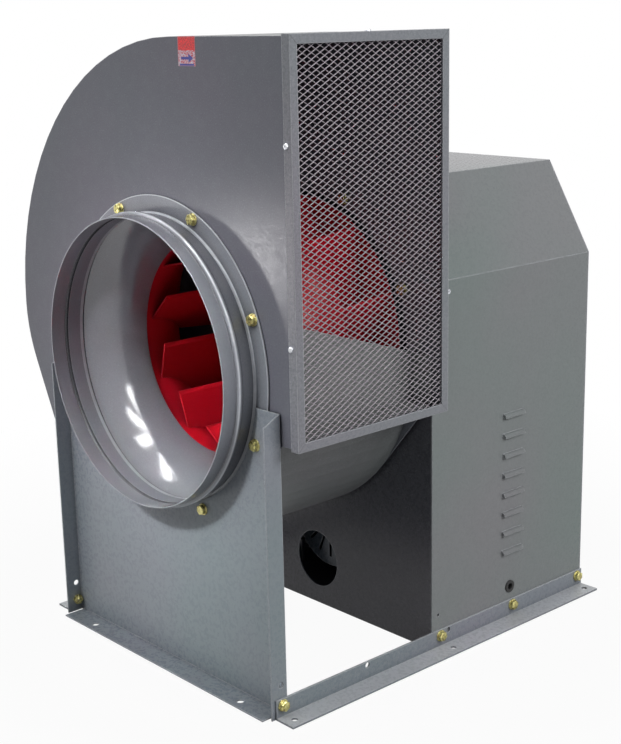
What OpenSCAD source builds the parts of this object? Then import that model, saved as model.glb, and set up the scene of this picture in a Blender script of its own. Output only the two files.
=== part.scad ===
// Belt-driven smoke-extract fan: centrifugal impeller in a rolled steel scroll, with a drive housing behind.
// Axes: the fan shaft runs along Y, the inlet faces -Y, the outlet faces +X, +Z is up.
// Origin: the middle of the six holes in the two base rails, on the floor.

/* [Scroll casing] */
// Height of the fan axis over the floor
axis_z = 448; // [430:1:470]
// Distance from the middle of the base to the casing's front face
casing_front = 302; // [296:1:308]
// Width of the casing along the axis
scroll_w = 270; // [262:1:276]
// Thickness of the casing sheet
sheet_t = 2; // [1.5:0.25:3]
// Height of the casing's flat top above the axis
scroll_rise = 431; // [425:1:440]
// Distance from the axis to the outlet's outer face
outlet_x = 280; // [274:1:290]
// Start of the flat top, beside the axis
top_start = 43; // [35:1:50]
// Radius of the upper quarter of the wrap
wrap_r_top = 401; // [398:1:404]
// Radius of the short bend at the side of the wrap
wrap_r_side = 203; // [195:1:210]
// Radius of the lower bend of the wrap
wrap_r_low = 216; // [210:1:222]
// Radius of the bend that rises to the tongue
wrap_r_tongue = 278; // [274:1:284]
// Length of the straight stretch at the side
side_run = 111; // [106:1:116]
// Length of the straight stretch at the bottom
low_run = 40; // [36:1:46]
// Height of the cutoff plate over the duct floor at the front plate
cutoff_front_h = 156; // [130:1:170]
// Height of the cutoff plate over the duct floor at the back plate
cutoff_back_h = 70; // [50:1:90]

/* [Outlet] */
// Width of the outlet frame's face
frame_face_w = 12; // [10:0.5:16]
// Depth of the outlet frame's leg on the duct
frame_leg_w = 14; // [12:0.5:20]
// Thickness of the outlet frame
frame_t = 2.5; // [2:0.25:4]
// Thickness of the guard's expanded sheet
guard_t = 1.5; // [1:0.25:2.5]
// Long pitch of the guard's diamonds
guard_pitch_y = 37; // [30:0.5:50]
// Short pitch of the guard's diamonds
guard_pitch_z = 21; // [18:0.5:30]
// Width of the guard's strands
guard_strand = 2.5; // [1.5:0.25:4]

/* [Inlet] */
// Outer radius of the inlet spigot
spigot_r = 200; // [196:1:202]
// Length of the inlet spigot
spigot_l = 52; // [45:1:60]
// Thickness of the spigot and the inlet cone
spigot_t = 1.5; // [1:0.25:2.5]
// Height of the bead round the spigot
bead_h = 5; // [3:0.5:6]
// Distance from the spigot's rim to the bead
bead_set = 25; // [20:1:30]
// Outer radius of the spigot's flange
flange_r = 225; // [223:1:230]
// Radius of the round openings in the casing's plates
casing_hole_r = 205; // [204.5:0.5:206]
// Radius of the circle of the inlet bolts
bolt_circle_r = 215.5; // [213:0.5:217]
// Radius of the inlet cone's throat
throat_r = 155; // [150:1:158]
// Depth of the inlet cone
cone_depth = 83; // [76:1:84]
// Radius of the cone's curve
cone_curve_r = 99; // [90:1:110]

/* [Impeller] */
// Outer radius of the impeller
impeller_r = 200; // [190:1:203]
// Distance from the front face of the casing to the impeller's back plate
impeller_back = 258; // [254:1:260]
// Thickness of the impeller's back plate
back_disc_t = 2.5; // [2:0.25:4]
// Number of blades
blade_n = 11; // [8:1:12]
// Thickness of a blade
blade_t = 2.5; // [2:0.25:3.5]
// Distance from the axis to the line of a straight blade
blade_line = 122; // [115:1:128]
// Radius of the blades' inner edge
blade_in_r = 133; // [129:1:136]
// Turn of the first blade
blade_phase = 3.2; // [0:0.1:30]
// Outer radius of the shroud
shroud_r = 190; // [186:1:193]
// Inner radius of the shroud's eye
eye_r = 160; // [159:0.5:162]
// Distance from the casing's front face to the shroud's rim
shroud_rim = 168; // [164:1:172]
// Length of the straight lip of the shroud's eye
eye_lip = 17; // [14:1:20]
// Thickness of the shroud
shroud_t = 2; // [1.5:0.25:3]

/* [Shaft and bearings] */
// Radius of the fan shaft
shaft_r = 15; // [14:0.5:16]
// Radius of the hub's boss
hub_r = 30; // [28:1:36]
// Radius of the hub's flange
hub_flange_r = 55; // [52:1:62]
// Length of the hub
hub_l = 46; // [42:1:50]
// Height of the shaft over the feet of the bearing blocks
block_h = 43; // [42:0.5:45]
// Length of a bearing block's foot
block_l = 165; // [160:1:170]
// Width of a bearing block's foot
block_w = 48; // [44:1:50]
// Spacing of the bolts of a bearing block
block_bolt_gap = 127; // [124:1:130]
// Distance from the front face of the casing to the front bearing
bearing_front = 352; // [350:1:356]
// Distance from the front face of the casing to the rear bearing
bearing_rear = 500; // [494:1:504]
// Radius of the bearing's outer ring
bearing_r = 31; // [30.5:0.1:31.5]
// Width of the bearing's inner ring
bearing_inner_w = 38; // [36:1:40]
// Width of the bearing's outer ring
bearing_outer_w = 19; // [18:0.5:20]
// Number of balls in a bearing
ball_n = 9; // [8:1:9]
// Radius of a ball
ball_r = 4.75; // [4.5:0.05:4.8]
// Radius of the cooling disc
cool_r = 80; // [70:1:84]
// Number of the cooling disc's vanes
cool_n = 12; // [8:1:14]

/* [Belt drive] */
// Distance from the front face of the casing to the middle of the pulleys
pulley_y = 562; // [560:1:565]
// Pitch radius of the fan pulley
fan_pulley_r = 90; // [80:1:100]
// Pitch radius of the motor pulley
motor_pulley_r = 62.5; // [56:0.5:70]
// Number of belts
belt_n = 2; // [1:1:2]
// Spacing of the belts
belt_gap = 15; // [15:0.5:17]
// Width of a belt over its back
belt_w = 12.7; // [12:0.1:13]
// Height of a belt
belt_h = 10; // [9:0.5:10]
// Width of a pulley
pulley_w = 35; // [35:1:38]

/* [Motor] */
// Height of the motor's axis over the floor
motor_z = 134; // [132:1:138]
// Height of the motor's axis over its feet
motor_h = 90; // [88:1:92]
// Radius of the motor's finned frame
motor_r = 84; // [82:1:86]
// Radius of the motor's shaft end
motor_shaft_r = 12; // [11:0.5:13]
// Distance from the front face of the casing to the motor's rear end
motor_rear = 306; // [304:1:312]
// Length of the motor's fan cowl
cowl_l = 55; // [50:1:60]
// Length of the motor's finned frame
motor_frame_l = 150; // [146:1:152]
// Number of cooling fins round the frame
fin_n = 28; // [20:2:36]
// Spacing of the feet's holes across the motor
foot_gap_x = 140; // [136:1:144]
// Spacing of the feet's holes along the motor
foot_gap_y = 100; // [96:1:104]

/* [Base and housing] */
// Room between the inlet's bolt circle and the rails' webs
base_margin = 30.5; // [28.5:0.5:34.5]
// Height of a rail's web
rail_h = 28; // [26:1:32]
// Width of a rail's flange
rail_w = 35; // [32:1:40]
// Thickness of a rail
rail_t = 3; // [2.5:0.25:4]
// Distance from the casing's front face to the rear end of the housing
housing_end = 626; // [622:1:632]
// Length of the rails in front of the casing's front face
rail_front = 24; // [20:1:28]
// Pitch of the rails' floor holes
rail_pitch = 310; // [300:1:312]
// Radius of the rails' floor holes
rail_hole_r = 4.5; // [4:0.25:6]
// Distance of the floor holes from the middle
rail_hole_x = 266; // [264:1:268]
// Depth of the front support's upper edge under the fan axis
support_drop = 32; // [20:1:45]
// Depth of the front support's foot
foot_d = 35; // [30:1:40]
// Half the spacing of the foot's holes
foot_hole_x = 175; // [160:1:190]
// Distance from the casing's front face to the rear panel
panel_set = 277.5; // [277:0.5:280]
// Height of the housing's shoulder
shoulder_z = 544; // [530:1:560]
// Height of the housing's top
housing_top = 679; // [665:1:690]
// Half the width of the housing's flat top
top_half_w = 167; // [155:1:180]
// Thickness of the housing's sheet
housing_t = 1.5; // [1:0.25:2]
// Radius of the air hole in the rear panel
air_hole_r = 45; // [40:1:50]
// Height of the air hole's middle
air_hole_z = 74; // [70:1:80]
// Number of louvres in each side
louvre_n = 8; // [4:1:9]
// Pitch of the louvres
louvre_pitch = 30.7; // [28:0.1:33]
// Height of the lowest louvre
louvre_z = 105; // [100:1:110]
// Length of a louvre
louvre_l = 45; // [36:1:50]
// Distance from the casing's front face to the louvres
louvre_set = 430; // [400:1:440]
// Radius of the cable grommet's hole in the housing
grommet_r = 7.5; // [6:0.5:9]
// Radius of the grommet's bore for the cable
cable_r = 5; // [4:0.5:5.5]

/* [Hidden] */
$fn = 72;
// Overrun of the cuts
over = 1;
// Play of a bolt in its hole
bolt_play = 0.5;
// Play of a turning fit, on the radius
run_play = 0.03;
// Gap between neighbours that don't touch
clear = 0.3;
// Half the width between the rails' webs
base_half_w = bolt_circle_r + base_margin;
// Standard bolt: shank radius, head radius over corners, head height, washer radius and thickness, nut height
m8_r = 4;
m8_head_r = 7.5;
m8_head_h = 5.3;
m8_washer_r = 8.4;
m8_washer_t = 1.6;
m8_nut_h = 6.5;
// Small screw: shank radius, head radius and head height
screw_r = 2.4;
screw_head_r = 4.6;
screw_head_h = 3;
// Turns of the wrap's bends and of the straight edge below the outlet
side_turn = 25;
tongue_turn = 75;
gusset_turn = 50;
bend_step = 5;
// Number of places on the bolt circle, and the one that the wrap covers
bolt_places = 8;
tongue_bolt = bolt_places - 1;
first_bolt = 180 / bolt_places;
front_y = -casing_front;
casing_back_y = front_y + scroll_w;
panel_y = front_y + panel_set;
housing_end_y = front_y + housing_end;
duct_x = outlet_x - frame_t - guard_t;
// Places of the wrap: end of each bend, beside and above the axis
left_x = top_start - wrap_r_top;
side_end = [left_x + wrap_r_side * (1 - cos(side_turn)),
    scroll_rise - wrap_r_top - wrap_r_side * sin(side_turn)];
low_begin = side_end + side_run * [sin(side_turn), -cos(side_turn)];
low_end = low_begin + wrap_r_low * [cos(side_turn), sin(side_turn) - 1];
rise_begin = low_end + [low_run, 0];
tongue = rise_begin + wrap_r_tongue * [sin(tongue_turn), 1 - cos(tongue_turn)];
duct_floor = tongue[1];
cutoff_x = tongue[0] + sheet_t / 2;
cutoff_t = 1.5;
cutoff_tab = 40;
// The seat of the spigot's flange, in front of the casing
cone_seat = front_y - spigot_t;
spigot_seat = cone_seat - spigot_t;
support_seat = spigot_seat - sheet_t;
rail_end_y = housing_end_y;
support_h = axis_z - support_drop;
// Height of the rail's bolts, and their distances from the casing's front face
rail_bolt_z = 19;
rail_bolt_set = [-13, 292.7, 454, 614];
// Length of the motor's drive shield
shield_l = 22;
plate_z = motor_z - motor_h;
// Length of a bolt's end beyond its nut
bolt_end = 2;
// Heights of the outlet frame's screws over the fan axis
screw_low_h = 55;
screw_high_h = 303;

// A flat outline in X and Z, drawn out along Y from y0 to y1
module along_y(y0, y1) {
    translate([0, y1, 0]) rotate([90, 0, 0]) linear_extrude(y1 - y0) children();
}
// A round bar along Y
module bar(r, y0, y1, x = 0, z = 0) {
    translate([x, y1, z]) rotate([90, 0, 0]) cylinder(r = r, h = y1 - y0);
}
// A ring along Y
module ring(r_in, r_out, y0, y1, x = 0, z = 0) {
    difference() {
        bar(r_out, y0, y1, x, z);
        bar(r_in, y0 - over, y1 + over, x, z);
    }
}
// A block between two corners
module block(a, b) {
    translate(a) cube(b - a);
}
// Turns a profile of [radius, place along Y] round an axis along Y
module turned(x = 0, z = 0) {
    translate([x, 0, z]) rotate([-90, 0, 0]) rotate_extrude() children();
}
// Puts children at a place on a circle round an axis along Y
module on_circle(r, angle, x = 0, z = 0) {
    translate([x + r * cos(angle), 0, z + r * sin(angle)]) children();
}
// A bolt along +Y: its head lies in front of the seat, its shank ends at tip
module bolt_y(seat, tip) {
    bar(m8_washer_r, seat - m8_washer_t, seat);
    translate([0, seat - m8_washer_t, 0]) rotate([90, 0, 0]) cylinder(r = m8_head_r, h = m8_head_h, $fn = 6);
    bar(m8_r, seat - over, tip);
}
// A bolt down -Z: its head lies over the seat, its nut under the far side
module through_bolt(seat, far) {
    tip = far - m8_nut_h - bolt_end;
    translate([0, 0, seat]) cylinder(r = m8_washer_r, h = m8_washer_t);
    translate([0, 0, seat + m8_washer_t]) cylinder(r = m8_head_r, h = m8_head_h, $fn = 6);
    translate([0, 0, tip]) cylinder(r = m8_r, h = seat - tip + over);
    translate([0, 0, far - m8_nut_h]) cylinder(r = m8_head_r, h = m8_nut_h, $fn = 6);
}
// A nut on a bolt along Y, from its seat backwards
module nut_y(seat) {
    translate([0, seat + m8_nut_h, 0]) rotate([90, 0, 0]) cylinder(r = m8_head_r, h = m8_nut_h, $fn = 6);
}

// Points of a bend about centre c: from angle a0 to a1 on radius r
function bend(c, r, a0, a1) = let (n = ceil(abs(a1 - a0) / bend_step))
    [for (i = [0:n]) c + r * [cos(a0 + (a1 - a0) * i / n), sin(a0 + (a1 - a0) * i / n)]];
// The rolled sheet's line from the outlet's top to the bend before the tongue, set in by d
function wrap_line(d, last) = concat([[duct_x, scroll_rise - d]],
    bend([top_start, scroll_rise - wrap_r_top], wrap_r_top - d, 90, 180),
    bend([left_x + wrap_r_side, scroll_rise - wrap_r_top], wrap_r_side - d, 180, 180 + side_turn),
    bend(low_begin + wrap_r_low * [cos(side_turn), sin(side_turn)], wrap_r_low - d, 180 + side_turn, 270),
    bend(rise_begin + [0, wrap_r_tongue], wrap_r_tongue - d, 270, 270 + last));
function reversed(list) = [for (i = [len(list) - 1:-1:0]) list[i]];

module side_plate_outline() {
    gusset = rise_begin + wrap_r_tongue * [sin(gusset_turn), 1 - cos(gusset_turn)];
    corner_x = gusset[0] + (duct_floor - gusset[1]) / tan(gusset_turn);
    polygon(concat(wrap_line(0, gusset_turn), [[corner_x, duct_floor], [duct_x, duct_floor]]));
}
module circle_holes(y0, y1, r, skip = -1) {
    for (i = [0:bolt_places - 1]) if (i != skip)
        on_circle(bolt_circle_r, first_bolt + i * 360 / bolt_places, 0, axis_z) bar(r, y0 - over, y1 + over);
}
module front_plate() {
    color([0.47, 0.48, 0.5]) difference() {
        translate([0, 0, axis_z]) along_y(front_y, front_y + sheet_t) side_plate_outline();
        bar(casing_hole_r, front_y - over, front_y + sheet_t + over, 0, axis_z);
        circle_holes(front_y, front_y + sheet_t, m8_r + bolt_play / 2);
    }
}
module back_plate() {
    color([0.45, 0.46, 0.48]) difference() {
        translate([0, 0, axis_z]) along_y(casing_back_y - sheet_t, casing_back_y) side_plate_outline();
        bar(casing_hole_r, casing_back_y - sheet_t - over, casing_back_y + over, 0, axis_z);
        circle_holes(casing_back_y - sheet_t, casing_back_y, m8_r + bolt_play, tongue_bolt);
    }
}
module scroll_wrap() {
    inner_end = rise_begin + [0, wrap_r_tongue]
        + (wrap_r_tongue - sheet_t) * [sin(tongue_turn), -cos(tongue_turn)];
    corner_x = inner_end[0] + (duct_floor + sheet_t - inner_end[1]) / tan(tongue_turn);
    color([0.46, 0.48, 0.48]) translate([0, 0, axis_z])
        along_y(front_y + sheet_t, casing_back_y - sheet_t) polygon(concat(wrap_line(0, tongue_turn),
            [[duct_x, duct_floor], [duct_x, duct_floor + sheet_t], [corner_x, duct_floor + sheet_t]],
            reversed(wrap_line(sheet_t, tongue_turn))));
}
module cutoff_plate() {
    y0 = front_y + sheet_t;
    y1 = casing_back_y - sheet_t;
    z0 = axis_z + duct_floor + sheet_t;
    color([0.55, 0.56, 0.57]) {
        translate([cutoff_x, 0, z0]) rotate([90, 0, 90]) linear_extrude(cutoff_t)
            polygon([[y0, 0], [y1, 0], [y1, cutoff_back_h], [y0, cutoff_front_h]]);
        block([cutoff_x, y0, z0], [cutoff_x + cutoff_tab, y0 + cutoff_t, z0 + cutoff_front_h]);
        block([cutoff_x, y1 - cutoff_t, z0], [cutoff_x + cutoff_tab, y1, z0 + cutoff_back_h]);
        block([cutoff_x, y0, z0], [cutoff_x + cutoff_tab, y1, z0 + cutoff_t]);
    }
}
module outlet_frame() {
    low = [outlet_x - frame_leg_w, front_y - frame_t, axis_z + duct_floor - frame_t];
    high = [outlet_x, casing_back_y + frame_t, axis_z + scroll_rise + frame_t];
    leg = [0, frame_t, frame_t];
    face = [0, frame_face_w, frame_face_w];
    color([0.5, 0.51, 0.52]) difference() {
        block(low, high);
        block([low[0] - over, low[1], low[2]] + leg, [outlet_x - frame_t, high[1], high[2]] - leg);
        block(low + face - [over, 0, 0], high - face + [over, 0, 0]);
        for (s = frame_screw_places()) translate(s[0]) rotate(s[1])
            cylinder(r = screw_r + clear, h = frame_t * 3, center = true);
    }
}
// Places and directions of the screws in the frame's legs: two at each side, one over and one under the duct
function frame_screw_places() = let (x = outlet_x - frame_leg_w / 2 - frame_t)
    let (zs = [axis_z + screw_low_h, axis_z + screw_high_h], mid_y = (front_y + casing_back_y) / 2)
    concat([for (z = zs) [[x, front_y - frame_t, z], [90, 0, 0]]],
        [for (z = zs) [[x, casing_back_y + frame_t, z], [-90, 0, 0]]],
        [[[x, mid_y, axis_z + scroll_rise + frame_t], [0, 0, 0]],
            [[x, mid_y, axis_z + duct_floor - frame_t], [180, 0, 0]]]);
module outlet_frame_screws() {
    color([0.85, 0.86, 0.88]) for (s = frame_screw_places()) translate(s[0]) rotate(s[1]) {
        cylinder(r = screw_head_r, h = screw_head_h);
        translate([0, 0, -frame_t]) cylinder(r = screw_r, h = frame_t + screw_head_h);
    }
}
module diamond(half) {
    polygon([[-half[0], 0], [0, -half[1]], [half[0], 0], [0, half[1]]]);
}
module outlet_guard() {
    w = scroll_w - 2 * clear;
    h = scroll_rise - duct_floor - 2 * clear;
    edge = frame_face_w - frame_t - clear;
    nets = [w - edge, h - edge];
    cols = floor(nets[0] / guard_pitch_y);
    rows = floor(nets[1] / guard_pitch_z);
    pitch = [nets[0] / cols, nets[1] / rows];
    slope = atan(pitch[1] / pitch[0]);
    half = [pitch[0] / 2 - guard_strand / 2 / sin(slope), pitch[1] / 2 - guard_strand / 2 / cos(slope)];
    corner = [duct_x, front_y + clear, axis_z + duct_floor + clear];
    color([0.72, 0.7, 0.74]) translate(corner) rotate([90, 0, 90])
        linear_extrude(guard_t) difference() {
            square([w, h]);
            translate([edge / 2, edge / 2]) {
                for (i = [0:cols - 1], j = [0:rows - 1])
                    translate([(i + 0.5) * pitch[0], (j + 0.5) * pitch[1]]) diamond(half);
                for (i = [1:cols - 1], j = [1:rows - 1])
                    translate([i * pitch[0], j * pitch[1]]) diamond(half);
            }
        }
}
module inlet_spigot() {
    rim = spigot_seat - spigot_l;
    color([0.56, 0.57, 0.58]) difference() {
        turned(0, axis_z) difference() {
            union() {
                translate([spigot_r - spigot_t, rim]) square([spigot_t, cone_seat - rim]);
                translate([spigot_r - spigot_t, spigot_seat])
                    square([flange_r - spigot_r + spigot_t, spigot_t]);
                translate([spigot_r, rim + bead_set]) circle(bead_h);
            }
            translate([spigot_r, rim + bead_set]) circle(bead_h - spigot_t);
            translate([0, rim - over]) square([spigot_r - spigot_t, spigot_l + 2 * over]);
        }
        circle_holes(spigot_seat, cone_seat, m8_r + bolt_play / 2);
    }
}
module inlet_cone() {
    curve = [throat_r + cone_curve_r, front_y + cone_depth];
    mouth_r = curve[0] - sqrt(pow(cone_curve_r - spigot_t, 2) - pow(curve[1] - front_y, 2));
    color([0.5, 0.52, 0.53]) difference() {
        turned(0, axis_z) {
            intersection() {
                difference() {
                    translate(curve) circle(cone_curve_r);
                    translate(curve) circle(cone_curve_r - spigot_t);
                }
                translate([0, cone_seat]) square([curve[0], curve[1] - cone_seat]);
            }
            translate([mouth_r, cone_seat]) square([flange_r - clear - mouth_r, spigot_t]);
        }
        circle_holes(cone_seat, front_y, m8_r + bolt_play / 2);
    }
}
module inlet_bolts() {
    color([0.75, 0.72, 0.4]) for (i = [0:bolt_places - 1])
        on_circle(bolt_circle_r, first_bolt + i * 360 / bolt_places, 0, axis_z)
            bolt_y(i < bolt_places / 2 ? spigot_seat : support_seat, front_y + sheet_t);
}
// Depth of the support's sides, the fall of their upper edge, and the height of their free hole
support_side_d = 25;
support_side_drop = 13;
support_hole_z = 46.5;
// Gap between the spigot and the support's round edge
support_cut_gap = 3;
// Gap between the foot and the side at each corner
foot_corner_gap = 8;
// Radius of the foot's holes, and their distance from the casing's front face
foot_hole_r = 5;
foot_hole_set = 26;
foot_half_w = base_half_w - foot_corner_gap;
module front_support() {
    color([0.48, 0.5, 0.51]) difference() {
        union() {
            difference() {
                block([-base_half_w, support_seat, 0], [base_half_w, spigot_seat, support_h]);
                bar(spigot_r + support_cut_gap, support_seat - over, spigot_seat + over, 0, axis_z);
            }
            for (s = [-1, 1]) translate([s * (base_half_w - sheet_t / 2) - sheet_t / 2, 0, 0])
                rotate([90, 0, 90]) linear_extrude(sheet_t)
                    polygon([[spigot_seat, 0], [spigot_seat, support_h],
                    [support_seat - support_side_d, support_h - support_side_drop],
                    [support_seat - support_side_d, 0]]);
            block([-foot_half_w, support_seat - foot_d, 0], [foot_half_w, spigot_seat, sheet_t]);
        }
        circle_holes(support_seat, spigot_seat, m8_r + bolt_play / 2);
        for (s = [-1, 1]) {
            translate([s * foot_hole_x, front_y - foot_hole_set, -over])
                cylinder(r = foot_hole_r, h = sheet_t + 2 * over);
            for (z = [rail_bolt_z, support_hole_z])
                translate([s * base_half_w, front_y + rail_bolt_set[0], z])
                rotate([0, 90, 0]) cylinder(r = m8_r + bolt_play / 2, h = 4 * sheet_t, center = true);
        }
    }
}
// Free holes in the rail's web: distances from the casing's front face, and height
free_hole_sets = [143.5, 309];
free_hole_z = 23;
module web_hole(y, z) {
    translate([base_half_w - over, front_y + y, z]) rotate([0, 90, 0])
        cylinder(r = m8_r + bolt_play / 2, h = rail_t + 2 * over);
}
module rail() {
    color([0.57, 0.58, 0.6]) difference() {
        union() {
            block([base_half_w, front_y - rail_front, 0], [base_half_w + rail_t, rail_end_y, rail_h]);
            block([base_half_w, front_y - rail_front, 0], [base_half_w + rail_w, rail_end_y, rail_t]);
        }
        for (i = [-1:1]) translate([rail_hole_x, i * rail_pitch, -over])
            cylinder(r = rail_hole_r, h = rail_t + 2 * over);
        for (y = rail_bolt_set) web_hole(y, rail_bolt_z);
        for (y = free_hole_sets) web_hole(y, free_hole_z);
    }
}
module rail_right() { rail(); }
module rail_left() { mirror([1, 0, 0]) rail(); }
module rail_bolts() {
    // What each bolt clamps to the rail: the support, the housing and rear panel, the housing and tray
    clamped = [sheet_t, housing_t + sheet_t, 2 * housing_t, 2 * housing_t];
    color([0.75, 0.72, 0.4]) for (s = [-1, 1], i = [0:3])
        translate([s * (base_half_w + rail_t), front_y + rail_bolt_set[i], rail_bolt_z])
            rotate([0, s * 90, 0])
            through_bolt(0, -rail_t - clamped[i]);
}

// The housing's outline set in by d, from the right foot over the top to the left foot
function housing_line(d) = let (lean = atan((base_half_w - top_half_w) / (housing_top - shoulder_z)))
    let (half = [[base_half_w - d, 0], [base_half_w - d, shoulder_z - d * tan(lean / 2)],
        [top_half_w - d * tan(45 - lean / 2), housing_top - d]])
    concat(half, [for (i = [len(half) - 1:-1:0]) [-half[i][0], half[i][1]]]);
module housing_band(outer, inner) {
    polygon(concat(housing_line(outer), reversed(housing_line(inner))));
}
// Depth of the rear panel's folded sides, and the radius of its hole round the shaft
panel_side_d = 30;
seal_hole_r = 25;
// Bearing console: half its width, sheet, height, the place of its bolts across and over its foot
console_half_w = 110;
console_t = 6;
console_h = 105;
console_bolt_x = 80;
console_bolt_hs = [20, 78];
console_top = axis_z - block_h;
console_foot_z = console_top - console_h;
module console_bolt_places() {
    for (x = [-console_bolt_x, console_bolt_x], h = console_bolt_hs)
        translate([x, 0, console_foot_z + h]) children();
}
module console_holes(y0, y1) {
    console_bolt_places() bar(m8_r + bolt_play / 2, y0 - over, y1 + over);
}
// Small free hole in the housing's side
pilot_hole_set = 290.4;
pilot_hole_z = 51;
module side_holes(set, z, r, depth) {
    for (s = [-1, 1]) translate([s * base_half_w, front_y + set, z]) rotate([0, 90, 0])
        cylinder(r = r, h = depth, center = true);
}
module rear_panel() {
    color([0.49, 0.5, 0.51]) difference() {
        union() {
            along_y(panel_y, panel_y + sheet_t) polygon(housing_line(housing_t));
            along_y(panel_y, panel_y + panel_side_d) housing_band(housing_t, housing_t + sheet_t);
        }
        bar(air_hole_r, panel_y - over, panel_y + sheet_t + over, 0, air_hole_z);
        bar(seal_hole_r, panel_y - over, panel_y + sheet_t + over, 0, axis_z);
        circle_holes(panel_y, panel_y + sheet_t, m8_r + bolt_play / 2, tongue_bolt);
        console_holes(panel_y, panel_y + sheet_t);
        side_holes(rail_bolt_set[1], rail_bolt_z, m8_r + bolt_play / 2, 4 * rail_t);
        side_holes(pilot_hole_set, pilot_hole_z, screw_r, 4 * rail_t);
    }
}
module gasket_ring() {
    color([0.6, 0.6, 0.57]) difference() {
        ring(casing_hole_r, flange_r, casing_back_y, panel_y, 0, axis_z);
        circle_holes(casing_back_y, panel_y, m8_r + bolt_play, tongue_bolt);
    }
}
module rear_panel_bolts() {
    back = panel_y + sheet_t;
    color([0.75, 0.72, 0.4]) for (i = [0:bolt_places - 1]) if (i != tongue_bolt)
        on_circle(bolt_circle_r, first_bolt + i * 360 / bolt_places, 0, axis_z) {
            bolt_y(casing_back_y - sheet_t, back + m8_nut_h + bolt_end);
            nut_y(back);
        }
}
// Shaft seal: radius and thickness of its flange, and its length
seal_r = 42;
seal_flange_t = 4;
seal_l = 10;
module shaft_seal() {
    back = panel_y + sheet_t;
    color([0.3, 0.3, 0.32]) difference() {
        union() {
            bar(seal_r, back, back + seal_flange_t, 0, axis_z);
            bar(seal_hole_r, back, back + seal_l, 0, axis_z);
        }
        bar(shaft_r + clear, back - over, back + seal_l + over, 0, axis_z);
    }
}

// Height of a louvre, which stands out as far, and the width of the housing's rear lip
louvre_d = 6.5;
rear_lip = 16;
module louvre_hood() {
    difference() {
        rotate([90, 0, 0]) cylinder(r = louvre_d, h = louvre_l, center = true);
        rotate([90, 0, 0]) cylinder(r = louvre_d - housing_t, h = louvre_l - 2 * housing_t, center = true);
        block([-louvre_d - over, -louvre_l, -louvre_d - over], [-housing_t, louvre_l, louvre_d + over]);
        block([-louvre_d - over, -louvre_l, -louvre_d - over], [louvre_d + over, louvre_l, 0]);
    }
}
module louvre_places() {
    for (i = [0:louvre_n - 1])
        translate([base_half_w, front_y + louvre_set + louvre_l / 2, louvre_z + i * louvre_pitch]) children();
}
// One side's part of the housing's outline between two depths, up to the fold at the shoulder
module side_band(outer, inner) {
    a = housing_line(outer);
    b = housing_line(inner);
    polygon([a[0], a[1], b[1], b[0]]);
}
// The roof's part of it, from shoulder to shoulder
module roof_band(outer, inner) {
    a = housing_line(outer);
    b = housing_line(inner);
    polygon([a[1], a[2], a[3], a[4], b[4], b[3], b[2], b[1]]);
}
module housing_side() {
    end_y = housing_end_y - housing_t;
    color([0.5, 0.51, 0.52]) difference() {
        union() {
            difference() {
                along_y(panel_y, end_y) side_band(0, housing_t);
                louvre_places() block([-housing_t - over, housing_t - louvre_l / 2, 0],
                    [over, louvre_l / 2 - housing_t, louvre_d - housing_t]);
            }
            along_y(end_y - housing_t, end_y) side_band(housing_t, housing_t + rear_lip);
            louvre_places() louvre_hood();
        }
        for (y = [1:3]) side_holes(rail_bolt_set[y], rail_bolt_z, m8_r + bolt_play / 2, 4 * rail_t);
        side_holes(pilot_hole_set, pilot_hole_z, screw_r, 4 * rail_t);
        housing_screw_holes(end_y - 2 * housing_t, end_y + over);
    }
}
module housing_side_left() { mirror([1, 0, 0]) housing_side(); }
module housing_side_right() {
    difference() {
        housing_side();
        translate([base_half_w, front_y + grommet_set, grommet_z]) rotate([0, 90, 0])
            cylinder(r = grommet_r, h = 4 * housing_t, center = true);
    }
}
module housing_roof() {
    end_y = housing_end_y - housing_t;
    color([0.5, 0.51, 0.52]) difference() {
        union() {
            along_y(panel_y, end_y) roof_band(0, housing_t);
            along_y(end_y - housing_t, end_y) roof_band(housing_t, housing_t + rear_lip);
        }
        housing_screw_holes(end_y - 2 * housing_t, end_y + over);
    }
}
// Cable grommet: distance from the casing's front face, height, and width of its lips
grommet_set = 450;
grommet_z = 49;
grommet_lip = 2;
// Places of the rear cover's screws, at shares of the side's height
cover_screw_shares = [0.1, 0.5, 0.92];
function housing_screw_places() = let (x = base_half_w - rear_lip / 2 - housing_t, t = top_half_w - rear_lip)
    concat([for (s = [-1, 1], f = cover_screw_shares) [s * x, f * shoulder_z]],
        [for (s = [-1, 1]) [s * t, housing_top - rear_lip / 2 - housing_t]]);
module housing_screw_holes(y0, y1) {
    for (p = housing_screw_places()) bar(screw_r + clear, y0, y1, p[0], p[1]);
}
module housing_rear_cover() {
    color([0.49, 0.5, 0.51]) difference() {
        along_y(housing_end_y - housing_t, housing_end_y) polygon(housing_line(0));
        housing_screw_holes(housing_end_y - housing_t - over, housing_end_y + over);
    }
}
module housing_screws() {
    color([0.85, 0.86, 0.88]) for (p = housing_screw_places()) {
        bar(screw_r, housing_end_y - 4 * housing_t, housing_end_y + over, p[0], p[1]);
        bar(screw_head_r, housing_end_y, housing_end_y + screw_head_h, p[0], p[1]);
    }
}
module cable_grommet() {
    inner = -housing_t - grommet_lip;
    place = [base_half_w, front_y + grommet_set, grommet_z];
    color([0.08, 0.08, 0.09]) translate(place) rotate([0, 90, 0]) difference() {
        union() {
            cylinder(r = grommet_r + grommet_lip, h = grommet_lip);
            translate([0, 0, inner]) cylinder(r = grommet_r - clear / 3, h = grommet_lip - inner);
            translate([0, 0, inner]) cylinder(r = grommet_r + grommet_lip / 2, h = grommet_lip);
        }
        translate([0, 0, inner - over]) cylinder(r = cable_r, h = grommet_lip - inner + 2 * over);
    }
}

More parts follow.
